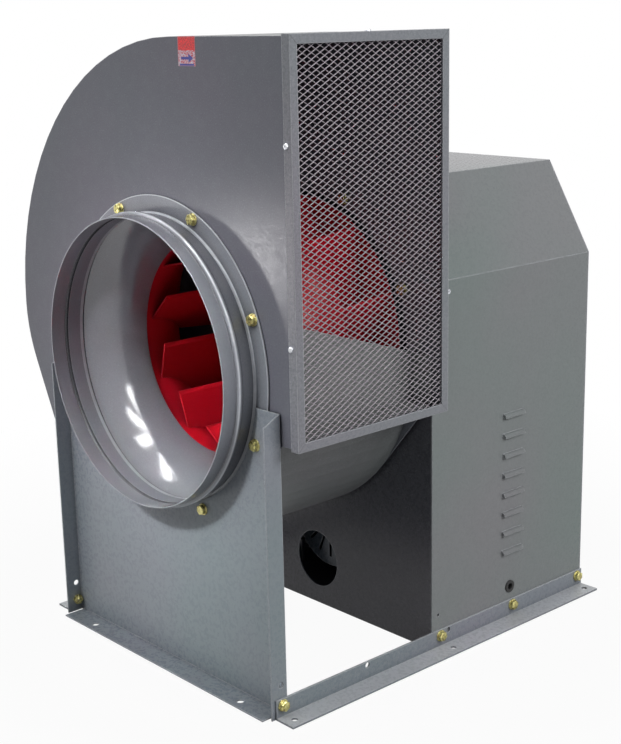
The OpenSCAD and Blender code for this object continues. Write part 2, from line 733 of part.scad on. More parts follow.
// Base tray: height of its sides, and its gap to the rear panel's sides and to the rear lip
tray_side_h = 36;
tray_gap = 1;
tray_y0 = panel_y + panel_side_d + tray_gap;
tray_y1 = housing_end_y - 2 * housing_t - tray_gap;
// Motor feet: length, width and height of a foot, and the front feet's distance from the frame's end
foot_l = 24;
foot_w = 34;
foot_h = 12;
foot_end_gap = 22;
frame_y0 = front_y + motor_rear + cowl_l;
frame_y1 = frame_y0 + motor_frame_l;
foot_ys = [frame_y1 - foot_end_gap - foot_gap_y, frame_y1 - foot_end_gap];
// Motor plate: thickness, its margins, the hinge beside it and the hinge's pin, tube and lugs
motor_plate_t = 6;
motor_plate_margin = 6;
motor_plate_half_w = 135;
hinge_x = 150;
hinge_drop = 8;
hinge_pin_r = 6;
hinge_tube_r = 11;
lug_w = 14;
lug_t = 5;
motor_plate_y0 = foot_ys[0] - foot_l / 2 - motor_plate_margin;
motor_plate_y1 = foot_ys[1] + foot_l / 2 + motor_plate_margin;
motor_plate_under = plate_z - motor_plate_t;
hinge_z = motor_plate_under - hinge_drop;
// Tension screws: radius, nut, margins from the plate's edges, and length over the upper nut
tension_r = 5;
tension_nut_r = 9.5;
tension_nut_h = 8;
tension_margins = [10, 15];
tension_end = 12;
module lug_places() {
    for (y = [motor_plate_y0 - lug_t - clear, motor_plate_y1 + clear]) translate([0, y, 0]) children();
}
module tension_places() {
    for (y = [motor_plate_y0 + tension_margins[1], motor_plate_y1 - tension_margins[1]])
        translate([motor_plate_half_w - tension_margins[0], y, 0]) children();
}
module foot_places() {
    for (x = [-foot_gap_x / 2, foot_gap_x / 2], y = foot_ys) translate([x, y, 0]) children();
}
module base_tray() {
    half = base_half_w - housing_t;
    color([0.55, 0.56, 0.57]) difference() {
        union() {
            block([-half, tray_y0, 0], [half, tray_y1, sheet_t]);
            for (s = [-1, 1]) translate([s * (half - housing_t / 2), 0, 0])
                block([-housing_t / 2, tray_y0, 0], [housing_t / 2, tray_y1, tray_side_h]);
            lug_places() block([-hinge_x - lug_w, 0, sheet_t], [lug_w - hinge_x, lug_t, hinge_z + lug_w]);
        }
        lug_places() bar(hinge_pin_r + run_play, -over, lug_t + over, -hinge_x, hinge_z);
        side_holes(rail_bolt_set[2], rail_bolt_z, m8_r + bolt_play / 2, 4 * rail_t);
        side_holes(rail_bolt_set[3], rail_bolt_z, m8_r + bolt_play / 2, 4 * rail_t);
        tension_places() translate([0, 0, -over])
            cylinder(r = tension_r + bolt_play / 2, h = sheet_t + 2 * over);
    }
}
module motor_plate() {
    edge = -hinge_x - hinge_tube_r;
    color([0.4, 0.42, 0.44]) difference() {
        union() {
            block([edge, motor_plate_y0, motor_plate_under], [motor_plate_half_w, motor_plate_y1, plate_z]);
            block([edge, motor_plate_y0, hinge_z], [-hinge_x, motor_plate_y1, plate_z]);
            bar(hinge_tube_r, motor_plate_y0, motor_plate_y1, -hinge_x, hinge_z);
        }
        bar(hinge_pin_r + run_play, motor_plate_y0 - over, motor_plate_y1 + over, -hinge_x, hinge_z);
        foot_places() translate([0, 0, motor_plate_under - over])
            cylinder(r = m8_r + bolt_play / 2, h = motor_plate_t + 2 * over);
        tension_places() translate([0, 0, motor_plate_under - over])
            cylinder(r = tension_r + bolt_play, h = motor_plate_t + 2 * over);
    }
}
module motor_plate_pin() {
    color([0.7, 0.7, 0.72])
        bar(hinge_pin_r, motor_plate_y0 - 2 * lug_t, motor_plate_y1 + 2 * lug_t, -hinge_x, hinge_z);
}
module tension_screws() {
    color([0.75, 0.75, 0.72]) tension_places() {
        cylinder(r = tension_r, h = plate_z + tension_nut_h + tension_end);
        for (z = [sheet_t, motor_plate_under - tension_nut_h, plate_z]) translate([0, 0, z])
            cylinder(r = tension_nut_r, h = tension_nut_h, $fn = 6);
    }
}

// Console's top plate: thickness and overhang past the feet of the bearing blocks
console_plate_t = 8;
console_margins = [3, 8];
console_plate_y0 = front_y + bearing_front - block_w / 2 - console_margins[0];
console_plate_y1 = front_y + bearing_rear + block_w / 2 + console_margins[1];
// Place of the console's cheeks, and their depth at the far end
console_cheek_x = 89;
console_nose = 30;
module bearing_console() {
    seat = panel_y + sheet_t;
    low = console_top - console_plate_t;
    color([0.42, 0.44, 0.46]) difference() {
        union() {
            block([-console_half_w, seat, console_foot_z], [console_half_w, seat + console_t, low]);
            block([-console_half_w, console_plate_y0, low], [console_half_w, console_plate_y1, console_top]);
            for (s = [-1, 1]) translate([s * (console_cheek_x + console_t / 2) - console_t / 2, 0, 0])
                rotate([90, 0, 90]) linear_extrude(console_t) polygon([[seat, console_foot_z], [seat, low],
                    [console_plate_y1, low], [console_plate_y1, console_top - console_nose],
                    [console_plate_y0, console_foot_z]]);
        }
        console_holes(seat, seat + console_t);
        block_bolt_places() translate([0, 0, low - over])
            cylinder(r = m8_r + bolt_play / 2, h = console_plate_t + 2 * over);
    }
}
module console_bolts() {
    color([0.75, 0.75, 0.72]) console_bolt_places() translate([0, panel_y, 0]) rotate([-90, 0, 0])
        through_bolt(sheet_t + console_t, 0);
}
module block_bolt_places() {
    for (y = [bearing_front, bearing_rear], x = [-block_bolt_gap / 2, block_bolt_gap / 2])
        translate([x, front_y + y, 0]) children();
}
// Bearing block: thickness of its foot, radius and width of its ring, and half the width of its neck
block_foot_t = 15;
block_ring_r = 41;
block_body_w = 38;
block_neck = 53;
module bearing_block(y) {
    mid = front_y + y;
    color([0.35, 0.4, 0.45]) difference() {
        union() {
            block([-block_l / 2, mid - block_w / 2, console_top],
                [block_l / 2, mid + block_w / 2, console_top + block_foot_t]);
            bar(block_ring_r, mid - block_body_w / 2, mid + block_body_w / 2, 0, axis_z);
            along_y(mid - block_body_w / 2, mid + block_body_w / 2) polygon([[-block_neck, console_top],
                [block_neck, console_top], [block_ring_r, axis_z], [-block_ring_r, axis_z]]);
        }
        bar(bearing_r + run_play, mid - block_w, mid + block_w, 0, axis_z);
        for (x = [-block_bolt_gap / 2, block_bolt_gap / 2]) translate([x, mid, console_top - over])
            cylinder(r = m8_r + bolt_play / 2, h = block_foot_t + 2 * over);
    }
}
module bearing_blocks() { for (y = [bearing_front, bearing_rear]) bearing_block(y); }
module block_bolts() {
    color([0.75, 0.75, 0.72]) block_bolt_places()
        through_bolt(console_top + block_foot_t, console_top - console_plate_t);
}
// Radius of the balls' circle, and how far each ring stays from it
ball_circle_r = 23.2;
race_depth = 2;
module race(y) {
    turned(0, axis_z) translate([ball_circle_r, y]) circle(ball_r + run_play);
}
module bearing_outer_rings() {
    color([0.8, 0.81, 0.83]) for (y = [front_y + bearing_front, front_y + bearing_rear]) difference() {
        half = bearing_outer_w / 2;
        ring(ball_circle_r + race_depth, bearing_r, y - half, y + half, 0, axis_z);
        race(y);
    }
}
module bearing_inner_rings() {
    color([0.78, 0.79, 0.81]) for (y = [front_y + bearing_front, front_y + bearing_rear]) difference() {
        half = bearing_inner_w / 2;
        ring(shaft_r + run_play, ball_circle_r - race_depth, y - half, y + half, 0, axis_z);
        race(y);
    }
}
module bearing_balls(y) {
    color([0.85, 0.86, 0.88]) for (i = [0:ball_n - 1]) on_circle(ball_circle_r, i * 360 / ball_n, 0, axis_z)
        translate([0, front_y + y, 0]) sphere(r = ball_r);
}
module bearing_ball_rows() { for (y = [bearing_front, bearing_rear]) bearing_balls(y); }

// Set-back of the shaft's end in the hub, and its length past a pulley
hub_front_y = front_y + impeller_back - hub_l;
shaft_end_gap = 2;
shaft_end_l = 3;
shaft_y0 = hub_front_y + shaft_end_gap;
shaft_y1 = front_y + pulley_y + pulley_w / 2 + shaft_end_l;
// Screw in the shaft's end: radius and length
end_screw_r = 5;
end_screw_l = 20;
// Keys: width, height, depth in the shaft, and distance from each end of the hub or pulley
key_w = 8;
key_h = 7;
key_depth = 4;
key_margin = 6;
hub_key = [shaft_y0 + key_margin, front_y + impeller_back - key_margin];
pulley_key = [front_y + pulley_y - pulley_w / 2 + key_margin, front_y + pulley_y + pulley_w / 2 - key_margin];
module key_block(key, play) {
    block([-key_w / 2 - play, key[0] - play, shaft_r - key_depth - play] + [0, 0, axis_z],
        [key_w / 2 + play, key[1] + play, shaft_r - key_depth + key_h + play] + [0, 0, axis_z]);
}
// Keyway through a hub or bush from y0 to y1
module keyway(y0, y1) {
    translate([0, 0, axis_z])
        block([-key_w / 2, y0, 0], [key_w / 2, y1, shaft_r - key_depth + key_h + clear]);
}
module fan_shaft() {
    color([0.72, 0.73, 0.75]) difference() {
        bar(shaft_r, shaft_y0, shaft_y1, 0, axis_z);
        bar(end_screw_r + run_play, shaft_y0 - over, shaft_y0 + end_screw_l, 0, axis_z);
        key_block(hub_key, run_play);
        key_block(pulley_key, run_play);
    }
}
module shaft_keys() {
    color([0.6, 0.6, 0.62]) {
        key_block(hub_key, 0);
        key_block(pulley_key, 0);
    }
}
end_washer_t = 5;
end_head_r = 8.5;
module shaft_end_screw() {
    color([0.75, 0.72, 0.4]) {
        bar(hub_r - end_washer_t, hub_front_y - end_washer_t, hub_front_y, 0, axis_z);
        translate([0, hub_front_y - end_washer_t, axis_z]) rotate([90, 0, 0])
            cylinder(r = end_head_r, h = m8_head_h, $fn = 6);
        bar(end_screw_r, hub_front_y - over, shaft_y0 + end_screw_l - clear, 0, axis_z);
    }
}
// Hub: thickness of its flange and number of its bolts
hub_flange_t = 8;
hub_bolt_n = 6;
module hub_bolt_places() {
    for (i = [0:hub_bolt_n - 1])
        on_circle((hub_r + hub_flange_r) / 2, i * 360 / hub_bolt_n, 0, axis_z) children();
}
module impeller_hub() {
    back = front_y + impeller_back;
    color([0.5, 0.12, 0.13]) difference() {
        union() {
            bar(hub_r, hub_front_y, back, 0, axis_z);
            bar(hub_flange_r, back - hub_flange_t, back, 0, axis_z);
        }
        bar(shaft_r + run_play, hub_front_y - over, back + over, 0, axis_z);
        keyway(hub_front_y - over, back + over);
        hub_bolt_places() bar(m8_r + bolt_play / 2, back - hub_flange_t - over, back + over);
    }
}
module hub_bolts() {
    back = front_y + impeller_back;
    color([0.75, 0.75, 0.72]) hub_bolt_places() {
        bolt_y(back - hub_flange_t, back + back_disc_t + m8_nut_h);
        nut_y(back + back_disc_t);
    }
}
// Gap between the shaft and the back plate's bore
disc_bore_gap = 5;
module impeller_back_disc() {
    back = front_y + impeller_back;
    color([0.62, 0.1, 0.12]) difference() {
        ring(shaft_r + disc_bore_gap, impeller_r, back, back + back_disc_t, 0, axis_z);
        hub_bolt_places() bar(m8_r + bolt_play / 2, back - over, back + back_disc_t + over);
    }
}
// Length of the cone inside the shroud's eye, and the gap at a welded edge
eye_overlap = 5;
weld_gap = 0.1;
eye_y = front_y + cone_depth - eye_overlap;
flare_y = eye_y + eye_lip;
flare_rise = shroud_r - eye_r;
flare_run = front_y + shroud_rim - flare_y;
flare_r = (pow(flare_rise, 2) + pow(flare_run, 2)) / (2 * flare_rise);
module impeller_shroud() {
    color([0.66, 0.1, 0.12]) turned(0, axis_z) {
        translate([eye_r, eye_y]) square([shroud_t, eye_lip]);
        intersection() {
            translate([eye_r + flare_r, flare_y]) difference() {
                circle(flare_r);
                circle(flare_r - shroud_t);
            }
            translate([eye_r, flare_y]) square([flare_rise + shroud_t, flare_run]);
        }
    }
}
module impeller_blades() {
    back = front_y + impeller_back - weld_gap;
    front = flare_y + shroud_t;
    color([0.7, 0.1, 0.13]) intersection() {
        translate([0, 0, axis_z]) for (i = [0:blade_n - 1]) rotate([0, -blade_phase - i * 360 / blade_n, 0])
            block([blade_line, front - over, 0], [blade_line + blade_t, back + over, impeller_r]);
        turned(0, axis_z) difference() {
            polygon([[blade_in_r, back], [blade_in_r, front], [eye_r - weld_gap, front],
                [shroud_r, front_y + shroud_rim], [impeller_r, back]]);
            translate([eye_r + flare_r, flare_y]) circle(flare_r + weld_gap);
        }
    }
}
// Cooling disc: hub radius, length, sheet, height of its vanes, and its gap to the shaft seal
cool_hub_r = 26;
cool_l = 24;
cool_t = 2.5;
cool_vane_h = 10;
cool_gap = 6;
module cooling_disc() {
    y0 = panel_y + sheet_t + seal_l + cool_gap;
    mid = y0 + cool_l / 2;
    color([0.75, 0.76, 0.78]) difference() {
        union() {
            bar(cool_hub_r, y0, y0 + cool_l, 0, axis_z);
            bar(cool_r, mid, mid + cool_t, 0, axis_z);
            translate([0, 0, axis_z]) for (i = [0:cool_n - 1]) rotate([0, i * 360 / cool_n, 0])
                block([cool_hub_r - over, mid - cool_vane_h, -cool_t / 2],
                    [cool_r - over, mid + cool_t / 2, cool_t / 2]);
        }
        bar(shaft_r + run_play, y0 - over, y0 + cool_l + over, 0, axis_z);
    }
}

// Half the angle of a belt's section, its height over the pitch line, and the space under it in its groove
belt_lean = 19;
belt_rise = 2.75;
groove_floor = 2.5;
// Half the width of a belt at a depth under its back
function belt_half(depth) = belt_w / 2 - depth * tan(belt_lean);
function belt_places() = [for (i = [0:belt_n - 1]) front_y + pulley_y + (i - (belt_n - 1) / 2) * belt_gap];
module pulley_profile(r, bore) {
    y0 = front_y + pulley_y - pulley_w / 2;
    depth = belt_h + groove_floor;
    difference() {
        translate([bore, y0]) square([r + belt_rise - bore, pulley_w]);
        for (y = belt_places()) polygon([
            [r + belt_rise + over, y - belt_half(-over) - clear],
            [r + belt_rise + over, y + belt_half(-over) + clear],
            [r + belt_rise - depth, y + belt_half(depth) + clear],
            [r + belt_rise - depth, y - belt_half(depth) - clear]]);
    }
}
// Fan pulley: thickness of its rim and web, radius of its bush and of its hub
pulley_rim_t = 24;
pulley_web_t = 11;
bush_r = 27;
pulley_hub_r = 42;
module fan_pulley() {
    mid = front_y + pulley_y;
    side = (pulley_w - pulley_web_t) / 2;
    color([0.4, 0.42, 0.45]) turned(0, axis_z) difference() {
        pulley_profile(fan_pulley_r, bush_r + run_play);
        for (y = [mid + pulley_web_t / 2, mid - pulley_w / 2 - over]) translate([pulley_hub_r, y])
            square([fan_pulley_r + belt_rise - pulley_rim_t - pulley_hub_r, side + over]);
    }
}
module fan_pulley_bush() {
    color([0.3, 0.31, 0.33]) difference() {
        ring(shaft_r + run_play, bush_r, front_y + pulley_y - pulley_w / 2, front_y + pulley_y + pulley_w / 2,
            0, axis_z);
        keyway(front_y + pulley_y - pulley_w, front_y + pulley_y + pulley_w);
    }
}
module motor_pulley() {
    color([0.4, 0.42, 0.45]) turned(0, motor_z) pulley_profile(motor_pulley_r, motor_shaft_r + run_play);
}
// Section of the belts at the pitch radius r, set in by d on each side
module belt_section(r, d = 0) {
    top = r + belt_rise - d;
    bottom = r + belt_rise - belt_h + d;
    for (y = belt_places()) polygon([[top, y - belt_half(0) + d], [top, y + belt_half(0) - d],
        [bottom, y + belt_half(belt_h) - d], [bottom, y - belt_half(belt_h) + d]]);
}
module v_belts() {
    span = axis_z - motor_z;
    lean = asin((fan_pulley_r - motor_pulley_r) / span);
    color([0.12, 0.12, 0.13]) {
        translate([0, 0, axis_z]) rotate([-90, 0, 0]) rotate([0, 0, -180 - lean])
            rotate_extrude(angle = 180 + 2 * lean) belt_section(fan_pulley_r);
        translate([0, 0, motor_z]) rotate([-90, 0, 0]) rotate([0, 0, lean])
            rotate_extrude(angle = 180 - 2 * lean) belt_section(motor_pulley_r);
        for (s = [0, 1]) mirror([s, 0, 0]) translate([0, 0, axis_z]) rotate([0, lean, 0])
            translate([0, 0, -span * cos(lean) - over]) linear_extrude(span * cos(lean) + 2 * over)
                belt_section(fan_pulley_r, weld_gap);
    }
}

// Motor: radii of stator, rotor and frame skin, lengths of core and windings, and the fins' and cowl's sheet
stator_r = 54;
rotor_r = 35;
core_l = 90;
winding_l = 18;
frame_skin_r = 66;
fin_t = 2.5;
cowl_t = 1.2;
core_y0 = (frame_y0 + frame_y1 - core_l) / 2;
// Terminal box: half its width, length, distance from the frame's rear end, height, lid and wall
box_half_w = 42;
box_l = 84;
box_set = 40;
box_h = 34;
box_lid_h = 12;
box_wall = 3;
box_y0 = frame_y0 + box_set;
box_y1 = box_y0 + box_l;
box_z = motor_z + frame_skin_r;
module motor_frame() {
    web_in = foot_gap_x / 2 - foot_w / 2;
    web_out = foot_gap_x / 2 - m8_washer_r - clear;
    color([0.35, 0.42, 0.5]) difference() {
        union() {
            bar(frame_skin_r, frame_y0, frame_y1, 0, motor_z);
            translate([0, 0, motor_z]) for (i = [0:fin_n - 1]) rotate([0, (i + 0.5) * 360 / fin_n, 0])
                block([stator_r, frame_y0 + lug_t, -fin_t / 2], [motor_r, frame_y1 - lug_t, fin_t / 2]);
            foot_places()
                block([-foot_w / 2, -foot_l / 2, plate_z], [foot_w / 2, foot_l / 2, plate_z + foot_h]);
            for (s = [-1, 1], y = foot_ys) along_y(y - foot_l / 4, y + foot_l / 4)
                polygon([[s * web_in, plate_z], [s * web_out, plate_z], [s * web_out, plate_z + foot_h],
                    [s * frame_skin_r * sin(45), motor_z - frame_skin_r * cos(45)],
                    [0, motor_z - frame_skin_r]]);
            block([-box_half_w, box_y0, motor_z + rotor_r], [box_half_w, box_y1, box_z]);
        }
        bar(stator_r + run_play, frame_y0 - over, frame_y1 + over, 0, motor_z);
        foot_places() translate([0, 0, plate_z - over])
            cylinder(r = m8_r + bolt_play / 2, h = foot_h + 2 * over);
        block([-box_half_w - clear, box_y0 - clear, box_z],
            [box_half_w + clear, box_y1 + clear, motor_z + motor_r + over]);
    }
}
module motor_foot_bolts() {
    color([0.75, 0.75, 0.72]) foot_places() through_bolt(plate_z + foot_h, motor_plate_under);
}
module motor_stator() {
    color([0.55, 0.35, 0.2]) difference() {
        union() {
            bar(stator_r, core_y0, core_y0 + core_l, 0, motor_z);
            bar(stator_r - lug_t, core_y0 - winding_l, core_y0 + core_l + winding_l, 0, motor_z);
        }
        bar(rotor_r + bolt_play, core_y0 - winding_l - over, core_y0 + core_l + winding_l + over, 0, motor_z);
    }
}
module motor_rotor_core() {
    color([0.5, 0.5, 0.52]) ring(motor_shaft_r + run_play, rotor_r, core_y0, core_y0 + core_l, 0, motor_z);
}
// Motor bearings: radius, width and set-in; shields: edge, rear shield's length and the wall round a bearing
motor_bearing_r = 23.5;
motor_bearing_w = 15;
bearing_set_in = 2;
shield_edge = 6;
rear_shield_l = 12;
shield_wall = 6;
drive_bearing_y = frame_y1 + bearing_set_in;
rear_bearing_y = frame_y0 - rear_shield_l + bearing_set_in;
module motor_drive_shield() {
    y1 = frame_y1 + shield_l;
    bore = motor_shaft_r + bolt_play;
    rim = motor_r - shield_edge;
    color([0.35, 0.42, 0.5]) turned(0, motor_z) difference() {
        polygon([[bore, frame_y1], [rim, frame_y1], [rim, frame_y1 + shield_edge],
            [motor_bearing_r + 2 * shield_wall, y1], [bore, y1]]);
        translate([0, frame_y1 - over])
            square([motor_bearing_r + run_play, bearing_set_in + motor_bearing_w + over]);
    }
}
module motor_rear_shield() {
    y0 = frame_y0 - rear_shield_l;
    bore = motor_shaft_r + bolt_play;
    boss_l = bearing_set_in + motor_bearing_w;
    color([0.35, 0.42, 0.5]) turned(0, motor_z) difference() {
        union() {
            translate([bore, y0]) square([motor_r - shield_edge - bore, rear_shield_l]);
            translate([bore, y0]) square([motor_bearing_r + shield_wall - bore, boss_l]);
        }
        translate([0, rear_bearing_y]) square([motor_bearing_r + run_play, boss_l]);
    }
}
module motor_bearings() {
    color([0.8, 0.81, 0.83]) for (y = [drive_bearing_y, rear_bearing_y])
        ring(motor_shaft_r + run_play, motor_bearing_r, y, y + motor_bearing_w, 0, motor_z);
}
// Motor's own fan: radius, number of vanes, distance from the cowl's face, length and hub radius
motor_fan_r = 68;
motor_fan_n = 8;
motor_fan_set = 14;
motor_fan_l = 22;
motor_fan_hub_r = 20;
motor_fan_y0 = front_y + motor_rear + motor_fan_set;
module motor_shaft() {
    color([0.72, 0.73, 0.75]) bar(motor_shaft_r, motor_fan_y0 - shaft_end_gap, shaft_y1, 0, motor_z);
}
module motor_cooling_fan() {
    color([0.2, 0.2, 0.22]) difference() {
        union() {
            bar(motor_fan_hub_r, motor_fan_y0, motor_fan_y0 + motor_fan_l, 0, motor_z);
            bar(motor_fan_r, motor_fan_y0 + motor_fan_l - cool_t, motor_fan_y0 + motor_fan_l, 0, motor_z);
            translate([0, 0, motor_z]) for (i = [0:motor_fan_n - 1]) rotate([0, i * 360 / motor_fan_n, 0])
                block([motor_fan_hub_r - over, motor_fan_y0, -cool_t / 2],
                    [motor_fan_r - over, motor_fan_y0 + motor_fan_l - cool_t / 2, cool_t / 2]);
        }
        bar(motor_shaft_r + run_play, motor_fan_y0 - over, motor_fan_y0 + motor_fan_l + over, 0, motor_z);
    }
}
cowl_slot_n = 16;
module motor_fan_cowl() {
    y0 = front_y + motor_rear;
    inner = motor_r - shield_edge + clear;
    color([0.35, 0.42, 0.5]) difference() {
        bar(inner + cowl_t, y0, frame_y0, 0, motor_z);
        bar(inner, y0 + cowl_t, frame_y0 + over, 0, motor_z);
        translate([0, 0, motor_z]) for (i = [0:cowl_slot_n - 1]) rotate([0, i * 360 / cowl_slot_n, 0])
            block([motor_fan_hub_r, y0 - over, -fin_t], [motor_fan_r - fin_t, y0 + cowl_t + over, fin_t]);
    }
}
module motor_terminal_box() {
    color([0.33, 0.4, 0.48]) difference() {
        block([-box_half_w, box_y0, box_z], [box_half_w, box_y1, box_z + box_h]);
        block([box_wall - box_half_w, box_y0 + box_wall, box_z + box_wall],
            [box_half_w - box_wall, box_y1 - box_wall, box_z + box_h + over]);
        translate([box_half_w, (box_y0 + box_y1) / 2, box_z + box_h / 2]) rotate([0, 90, 0])
            cylinder(r = m8_washer_r, h = 3 * box_wall, center = true);
    }
}
module motor_terminal_lid() {
    color([0.33, 0.4, 0.48])
        block([-box_half_w, box_y0, box_z + box_h], [box_half_w, box_y1, box_z + box_h + box_lid_h]);
}

front_plate();
scroll_wrap();
back_plate();
cutoff_plate();
outlet_frame();
outlet_guard();
outlet_frame_screws();
inlet_spigot();
inlet_cone();
inlet_bolts();
front_support();
rail_left();
rail_right();
rail_bolts();
rear_panel();
gasket_ring();
rear_panel_bolts();
shaft_seal();
housing_side_left();
housing_side_right();
housing_roof();
housing_rear_cover();
housing_screws();
cable_grommet();
base_tray();
bearing_console();
console_bolts();
bearing_blocks();
bearing_outer_rings();
block_bolts();
fan_shaft();
shaft_end_screw();
shaft_keys();
impeller_back_disc();
impeller_shroud();
impeller_blades();
impeller_hub();
hub_bolts();
cooling_disc();
bearing_inner_rings();
bearing_ball_rows();
fan_pulley();
fan_pulley_bush();
v_belts();
motor_plate();
motor_plate_pin();
tension_screws();
motor_foot_bolts();
motor_frame();
motor_stator();
motor_drive_shield();
motor_rear_shield();
motor_bearings();
motor_fan_cowl();
motor_terminal_box();
motor_terminal_lid();
motor_shaft();
motor_rotor_core();
motor_cooling_fan();
motor_pulley();
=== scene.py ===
"""Looks of a belt-driven smoke-extract fan: painted sheet steel, red impeller, zinc fasteners, guard."""
import math

import bmesh
import bpy
from mathutils import Matrix, Vector


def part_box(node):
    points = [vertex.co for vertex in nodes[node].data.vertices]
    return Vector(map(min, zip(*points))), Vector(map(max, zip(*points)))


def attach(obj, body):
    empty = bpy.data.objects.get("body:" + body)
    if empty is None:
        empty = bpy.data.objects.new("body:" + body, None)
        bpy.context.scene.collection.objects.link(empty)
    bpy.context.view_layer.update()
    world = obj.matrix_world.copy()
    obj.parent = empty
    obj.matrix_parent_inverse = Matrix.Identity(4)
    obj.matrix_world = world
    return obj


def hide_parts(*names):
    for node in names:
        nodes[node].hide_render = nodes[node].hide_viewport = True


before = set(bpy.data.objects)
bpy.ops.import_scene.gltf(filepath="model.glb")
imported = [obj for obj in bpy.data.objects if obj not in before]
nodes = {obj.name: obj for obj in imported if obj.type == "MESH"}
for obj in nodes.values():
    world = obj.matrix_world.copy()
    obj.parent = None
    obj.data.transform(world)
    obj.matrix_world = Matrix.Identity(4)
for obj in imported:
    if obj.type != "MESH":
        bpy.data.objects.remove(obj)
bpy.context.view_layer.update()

# Places that several pieces share, in metres
FRONT_Y = -0.302
FRONT_PLATE_BACK_Y = -0.300
AXIS_Z = 0.448
BOLT_CIRCLE = 0.2155
FRAME_Y = (-0.3045, -0.0295)
FRAME_Z = (0.3705, 0.8815)
BASE_HALF_W = 0.246
RAIL_T = 0.003
LABEL_X = (0.0620, 0.0980)
LABEL_Z = (0.8420, 0.8793)

# Camera: where the photographer stood
CAMERA_PLACE = (1.536498, -1.408096, 0.899716)
CAMERA_YAW = -0.840
CAMERA_PITCH = math.radians(14.210)
CAMERA_ROLL = math.radians(-1.196)


def place_camera():
    """Looks down by the pitch; the yaw is counted from +Y towards +X."""
    flat = math.cos(CAMERA_PITCH)
    ahead = Vector((math.sin(CAMERA_YAW) * flat, math.cos(CAMERA_YAW) * flat, -math.sin(CAMERA_PITCH)))
    level = Vector((math.cos(CAMERA_YAW), -math.sin(CAMERA_YAW), 0))
    upward = level.cross(ahead)
    right = math.cos(CAMERA_ROLL) * level + math.sin(CAMERA_ROLL) * upward
    up = math.cos(CAMERA_ROLL) * upward - math.sin(CAMERA_ROLL) * level
    data = bpy.data.cameras.new("camera")
    data.sensor_fit = "HORIZONTAL"
    data.sensor_width = 36
    data.lens = 81.296
    data.clip_end = 100
    camera = bpy.data.objects.new("camera", data)
    turn = Matrix((right, up, -ahead)).transposed().to_4x4()
    camera.matrix_world = Matrix.Translation(CAMERA_PLACE) @ turn
    bpy.context.scene.collection.objects.link(camera)
    bpy.context.scene.camera = camera


place_camera()


# Shader maths
class Amount:
    """A value that varies over a surface; sums and products of it add Math nodes."""

    def __init__(self, shading, socket):
        self.shading, self.socket = shading, socket

    def __add__(self, other):
        return self.shading.sum("ADD", self, other)

    def __sub__(self, other):
        return self.shading.sum("SUBTRACT", self, other)

    def __rsub__(self, other):
        return self.shading.sum("SUBTRACT", other, self)

    def __mul__(self, other):
        return self.shading.sum("MULTIPLY", self, other)

    def __lt__(self, other):
        return self.shading.sum("LESS_THAN", self, other)

    def __gt__(self, other):
        return self.shading.sum("GREATER_THAN", self, other)

    def __abs__(self):
        return self.shading.sum("ABSOLUTE", self, 0.0)

    def least(self, other):
        return self.shading.sum("MINIMUM", self, other)

    def most(self, other):
        return self.shading.sum("MAXIMUM", self, other)

    __radd__ = __add__
    __rmul__ = __mul__


class Shading:
    """A node tree and the ways in which nodes are added to it."""

    def __init__(self, tree):
        self.tree = tree

    def node(self, kind, sockets=None, out=0, stops=None, **settings):
        """One node: its settings and a ramp's stops first, then the values or links of its sockets."""
        made = self.tree.nodes.new(kind)
        for name, value in settings.items():
            setattr(made, name, value)
        if stops:
            band = made.color_ramp.elements
            while len(band) < len(stops):
                band.new(1.0)
            for stop, (at, shade) in zip(band, stops):
                stop.position = at
                stop.color = (shade, shade, shade, 1.0)
        for name, value in (sockets or {}).items():
            if isinstance(value, Amount):
                self.tree.links.new(value.socket, made.inputs[name])
            else:
                made.inputs[name].default_value = value
        return Amount(self, made.outputs[out])

    def sum(self, operation, one, other):
        return self.node("ShaderNodeMath", {0: one, 1: other}, operation=operation)

    def seen(self):
        """1 for what the camera sees, straight, in a mirror or through glass, and 0 for what gives light."""
        rays = self.tree.nodes.new("ShaderNodeLightPath")
        straight, mirrored, through = (Amount(self, rays.outputs[f"Is {kind} Ray"])
                                       for kind in ("Camera", "Glossy", "Transmission"))
        return straight.most(mirrored).most(through)


